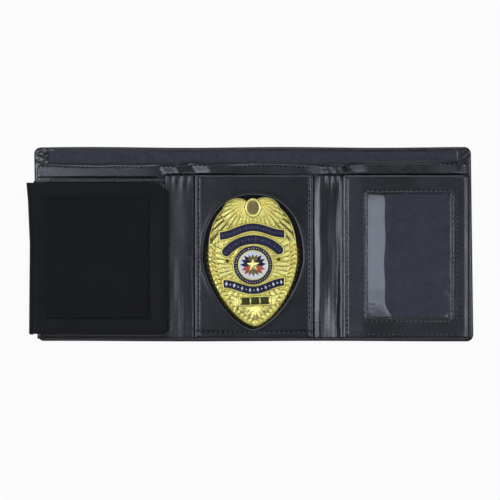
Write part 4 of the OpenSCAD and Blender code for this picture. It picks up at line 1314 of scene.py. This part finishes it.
def add_star():
    """A faceted star in the middle of the seal."""
    points = 10
    rim = [seal_place(1.5 if i % 2 else 3.7, math.radians(90 + 36 * i)) for i in range(points)]
    corners = [(*p, 0.1) for p in rim] + [(*p, -0.05) for p in rim] + [(SEAL_U, SEAL_V, 0.55)]
    level = BADGE_Z + GLAZE_TOP + crown(SEAL_U, SEAL_V)
    faces = []
    for i in range(points):
        j = (i + 1) % points
        faces += [[i, j, 2 * points], [i, i + points, j + points, j]]
    verts = [(*placed(u, v), level + z) for u, v, z in corners]
    carried(new_object("seal_star", verts, faces, GOLD, flat=True), "centre", "seal_emblem")


def add_seal():
    seal_plate("seal_ring_glaze", "seal_ring_enamel", (8.4, 8.7, 9.5, 10.3, 10.6), (0, 0.06, 0.08, 0.06, 0), BLUE,
               False)
    seal_plate("seal_disc_glaze", "seal_disc_enamel", (1.0, 4.0, 7.0, 7.5, 7.8), (0, 0.02, 0.05, 0.03, 0), WHITE,
               True)
    add_petals("seal_petals_blue", (176, 154, 132, 48, 26, 4), 7.3, 1.25, 0.08, BLUE)
    add_petals("seal_petals_red", (-158, -136, -44, -22), 7.0, 1.3, 0.08, RED)
    add_petals("seal_petals_gold", (-90, -114, -66, 90, 68, 112), 6.4, 1.1, 0.1, DARK_GOLD)
    add_star()


# Shares of a stud's size and rise
STUD_RINGS = ((1.0, 0.0), (0.92, 0.6), (0.6, 0.92))
STUD_SINK = 0.15


def studs(name, places, paint, slot, size, rise, sides):
    """Small raised studs in one mesh; a place is (u, v, turn)."""
    verts, faces = [], []
    ring = np.linspace(0, 2 * np.pi, sides + 1)[:-1]
    for u, v, turn in places:
        first, level = len(verts), BADGE_Z + GLAZE_TOP - STUD_SINK + crown(u, v)
        c, s = math.cos(turn), math.sin(turn)
        for share, up in STUD_RINGS:
            p, q = size[0] * share * np.cos(ring), size[1] * share * np.sin(ring)
            x, y = placed(u + p * c - q * s, v + p * s + q * c)
            verts += np.stack([x, y, 0 * x + level + rise * up], -1).tolist()
        verts.append([*placed(u, v), level + rise])
        tip = len(verts) - 1
        faces += tube_faces(first, len(STUD_RINGS), sides)
        faces += [[tip - sides + i, tip - sides + (i + 1) % sides, tip] for i in range(sides)]
    carried(new_object(name, verts, faces, paint), "centre")


def ribbon_row(banner, count):
    """Places for studs along a ribbon's middle line."""
    u = np.linspace(-1, 1, count) * (banner[0] - 1.6)
    return list(zip(u, ribbon_line(u, banner), ribbon_turn(u, banner)))


def add_studs():
    """Lozenges and beads by turns along the banners and round the seal, and the number plate's fields and posts."""
    arc = [(*arc_place(w), -w) for w in np.linspace(-0.86, 0.86, 19)]
    ring = [(*seal_place(RING_STUD_R, w), w) for w in np.linspace(0, 2 * np.pi, RING_STUDS + 1)[:-1]]
    dim, pale, gold = (DIM_BEAD, "enamel_blue"), (PALE, "pin_steel"), (GOLD, "badge_gold")
    for word, places, lozenge_look, size, bead_look, bead, rise in (
        ("top_banner", ribbon_row(TOP_BANNER, 21), dim, (0.42, 0.85), dim, 0.34, 0.12),
        ("lower_banner", ribbon_row(LOW_BANNER, 15), pale, (0.72, 1.3), pale, 0.42, 0.16),
        ("middle_banner", arc, dim, (0.42, 0.95), dim, 0.34, 0.12),
        ("seal_ring", ring, pale, (0.62, 0.28), gold, 0.26, 0.12),
    ):
        studs(f"{word}_lozenges", places[::2], *lozenge_look, size, rise, 4)
        studs(f"{word}_beads", places[1::2], *bead_look, (bead, bead), rise, 8)
    fields = [(PLATE_U + d, PLATE_V, math.pi / 4) for d in (-5.3, 0.0, 5.3)]
    studs("number_plate_fields", fields, OLIVE, "badge_dark_gold", (3.0, 3.0), 0.1, 4)
    posts = [(PLATE_U + d, PLATE_V, 0.0) for d in (-7.9, -2.65, 2.65, 7.9)]
    studs("number_plate_posts", posts, *gold, (0.3, 1.8), 0.2, 8)


def add_medallion():
    """A dark oval medallion with a struck rosette, in a bright ring."""
    n, dark_r = 120, 3.2
    a = np.linspace(0, 2 * np.pi, n + 1)[:-1]
    radii = np.concatenate([np.linspace(0.15, dark_r, 22), np.linspace(3.3, MEDAL_R + BORDER, 14)])
    u, v = MEDAL_U + np.outer(radii, np.cos(a)), MEDAL_V + MEDAL_TALL * np.outer(radii, np.sin(a))
    r = radii[:, None] + 0 * u
    ring = hump(r - (MEDAL_R + BORDER / 2 - 0.25), 1.3)
    rose = np.abs(np.cos(4 * a)) ** 0.7 * hump(r - 1.7, 2.6)
    top = FIELD + 0.25 + 0.6 * ring + 0.22 * rose * (r < dark_r) + 0.14 * hump(r, 1.3)
    top[-1] = FIELD - 0.3
    made = ring_solid("medallion_relief", np.stack(placed(u, v), -1), BADGE_Z + top + crown(u, v),
                      np.full(top.shape, BADGE_Z + PLATE), DARK_GOLD, hub=True)
    bands, faces_per_band = len(radii) - 1, 2 * n
    repaint(made, GOLD, range(int(np.argmax(radii > dark_r - 0.1)) * faces_per_band, bands * faces_per_band))
    carried(made, "centre", "badge_medallion")


def paint_hidden_parts():
    """The board behind the badge and its pin are the CAD nodes themselves."""
    # The board behind the badge takes the near-black paint, which is partly painted shade
    for part, paint in (("badge_backing", SHADED_BOARD), ("badge_pin_hinge", STEEL), ("badge_pin", STEEL),
                        ("badge_pin_catch", STEEL)):
        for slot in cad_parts[part].material_slots:
            slot.material = paint


# Whole model

for add in (add_cover, add_lining, add_wall, add_folds, add_pocket_liner, add_badge_panel, add_window_panel, add_window,
            add_pockets, add_flap_strip, add_flap_back, add_flap_lining, add_roll, add_flap_frame, add_flap_window,
            add_flap_thread, add_badge, add_glazes, add_seal, add_studs, add_medallion, paint_hidden_parts):
    add()


# Floor, light and camera, in metres

FLOOR_REACH, FLOOR_Z = 6.0, -0.0003
ROOM_EDGE, ROOM_MIDDLE, ROOM_TOP = 1.0, 0.1, 0.2
LAMP_FAR = 1.6
COOL = (0.82, 0.88, 1.0)
VIEW_X, VIEW_Y, VIEW_Z, VIEW_FAR, VIEW_W = -2.222 * MM, -3.194 * MM, 4.0 * MM, 1.2, 0.2778


def camera_only(tree, seen, lit):
    """Shows one thing to the camera, also in glass and metal, and another to the light."""
    path = node(tree, "LightPath").outputs
    share = path["Is Camera Ray"]
    for ray in ("Is Glossy Ray", "Is Transmission Ray"):
        share = node(tree, "Math", {0: share, 1: path[ray]}, operation="MAXIMUM").outputs[0]
    return node(tree, "MixShader", {"Fac": share, 1: lit, 2: seen}).outputs[0]


def add_floor():
    corners = [(x * FLOOR_REACH, y * FLOOR_REACH, FLOOR_Z) for x, y in ((-1, -1), (1, -1), (1, 1), (-1, 1))]
    mesh = bpy.data.meshes.new("floor")
    mesh.from_pydata(corners, [], [(0, 1, 2, 3)])
    made = bpy.data.objects.new("floor", mesh)
    bpy.context.scene.collection.objects.link(made)
    paint = bpy.data.materials.new("pale_floor")
    paint.use_nodes = True
    tree = paint.node_tree
    tree.nodes.clear()
    matte = node(tree, "BsdfDiffuse", {"Color": (0.9, 0.9, 0.9, 1)}).outputs[0]
    white = node(tree, "Emission", {"Color": (1, 1, 1, 1), "Strength": 1.0}).outputs[0]
    bright = node(tree, "MixShader", {"Fac": 0.08, 1: white, 2: matte}).outputs[0]
    tree.links.new(camera_only(tree, bright, matte), node(tree, "OutputMaterial").inputs["Surface"])
    mesh.materials.append(paint)


def add_world():
    """A dim room with a white lower edge all round and a pale ceiling."""
    world = bpy.data.worlds.new("room")
    bpy.context.scene.world = world
    world.use_nodes = True
    tree = world.node_tree
    tree.nodes.clear()
    up = node(tree, "SeparateXYZ", {"Vector": node(tree, "TexCoord").outputs["Generated"]}).outputs["Z"]
    edge = mapped(tree, up, ROOM_EDGE, ROOM_MIDDLE, 0.1, 0.28)
    ceiling = mapped(tree, up, 0.0, ROOM_TOP - ROOM_MIDDLE, 0.9, 0.985)
    level = summed(tree, edge, ceiling, 1.0)
    room = node(tree, "Background", {"Color": (0.86, 0.9, 1.0, 1), "Strength": level}).outputs[0]
    tree.links.new(room, node(tree, "OutputWorld").inputs["Surface"])


def add_lamp(name, angle_x, angle_y, size, radiance, color=COOL):
    """A softbox that faces the wallet, at angles from straight above in degrees."""
    lamp = bpy.data.lights.new(name, "AREA")
    lamp.shape = "RECTANGLE"
    lamp.size, lamp.size_y = size
    lamp.energy = radiance * math.pi * size[0] * size[1]
    lamp.color = color
    way = np.array([math.tan(math.radians(angle_x)), math.tan(math.radians(angle_y)), 1.0])
    way = way / np.linalg.norm(way)
    made = bpy.data.objects.new(name, lamp)
    made.location = (way * LAMP_FAR).tolist()
    made.rotation_mode = "QUATERNION"
    made.rotation_quaternion = Vector((-way).tolist()).to_track_quat("-Z", "Y")
    bpy.context.scene.collection.objects.link(made)


def add_camera():
    """Looks straight down; VIEW_W is the width in view on the level VIEW_Z."""
    camera = bpy.data.cameras.new("camera")
    camera.sensor_width = 36.0
    camera.lens = camera.sensor_width * VIEW_FAR / VIEW_W
    camera.clip_start, camera.clip_end = 0.05, 20.0
    made = bpy.data.objects.new("camera", camera)
    made.location = (VIEW_X, VIEW_Y, VIEW_Z + VIEW_FAR)
    bpy.context.scene.collection.objects.link(made)
    bpy.context.scene.camera = made


add_floor()
add_world()
add_lamp("ceiling_left", -12.5, 0, (0.15, 0.75), 2.4)
add_lamp("strip_left", -27, 0, (0.2, 0.8), 15.0)
add_lamp("strip_top", 0, 34, (0.9, 0.22), 9.0)
add_lamp("strip_right", 32, -2, (0.22, 0.8), 9.0)
add_lamp("strip_low", 0, -40, (0.9, 0.2), 2.5, (1, 1, 1))
add_camera()
bpy.context.scene.view_settings.view_transform = "Standard"
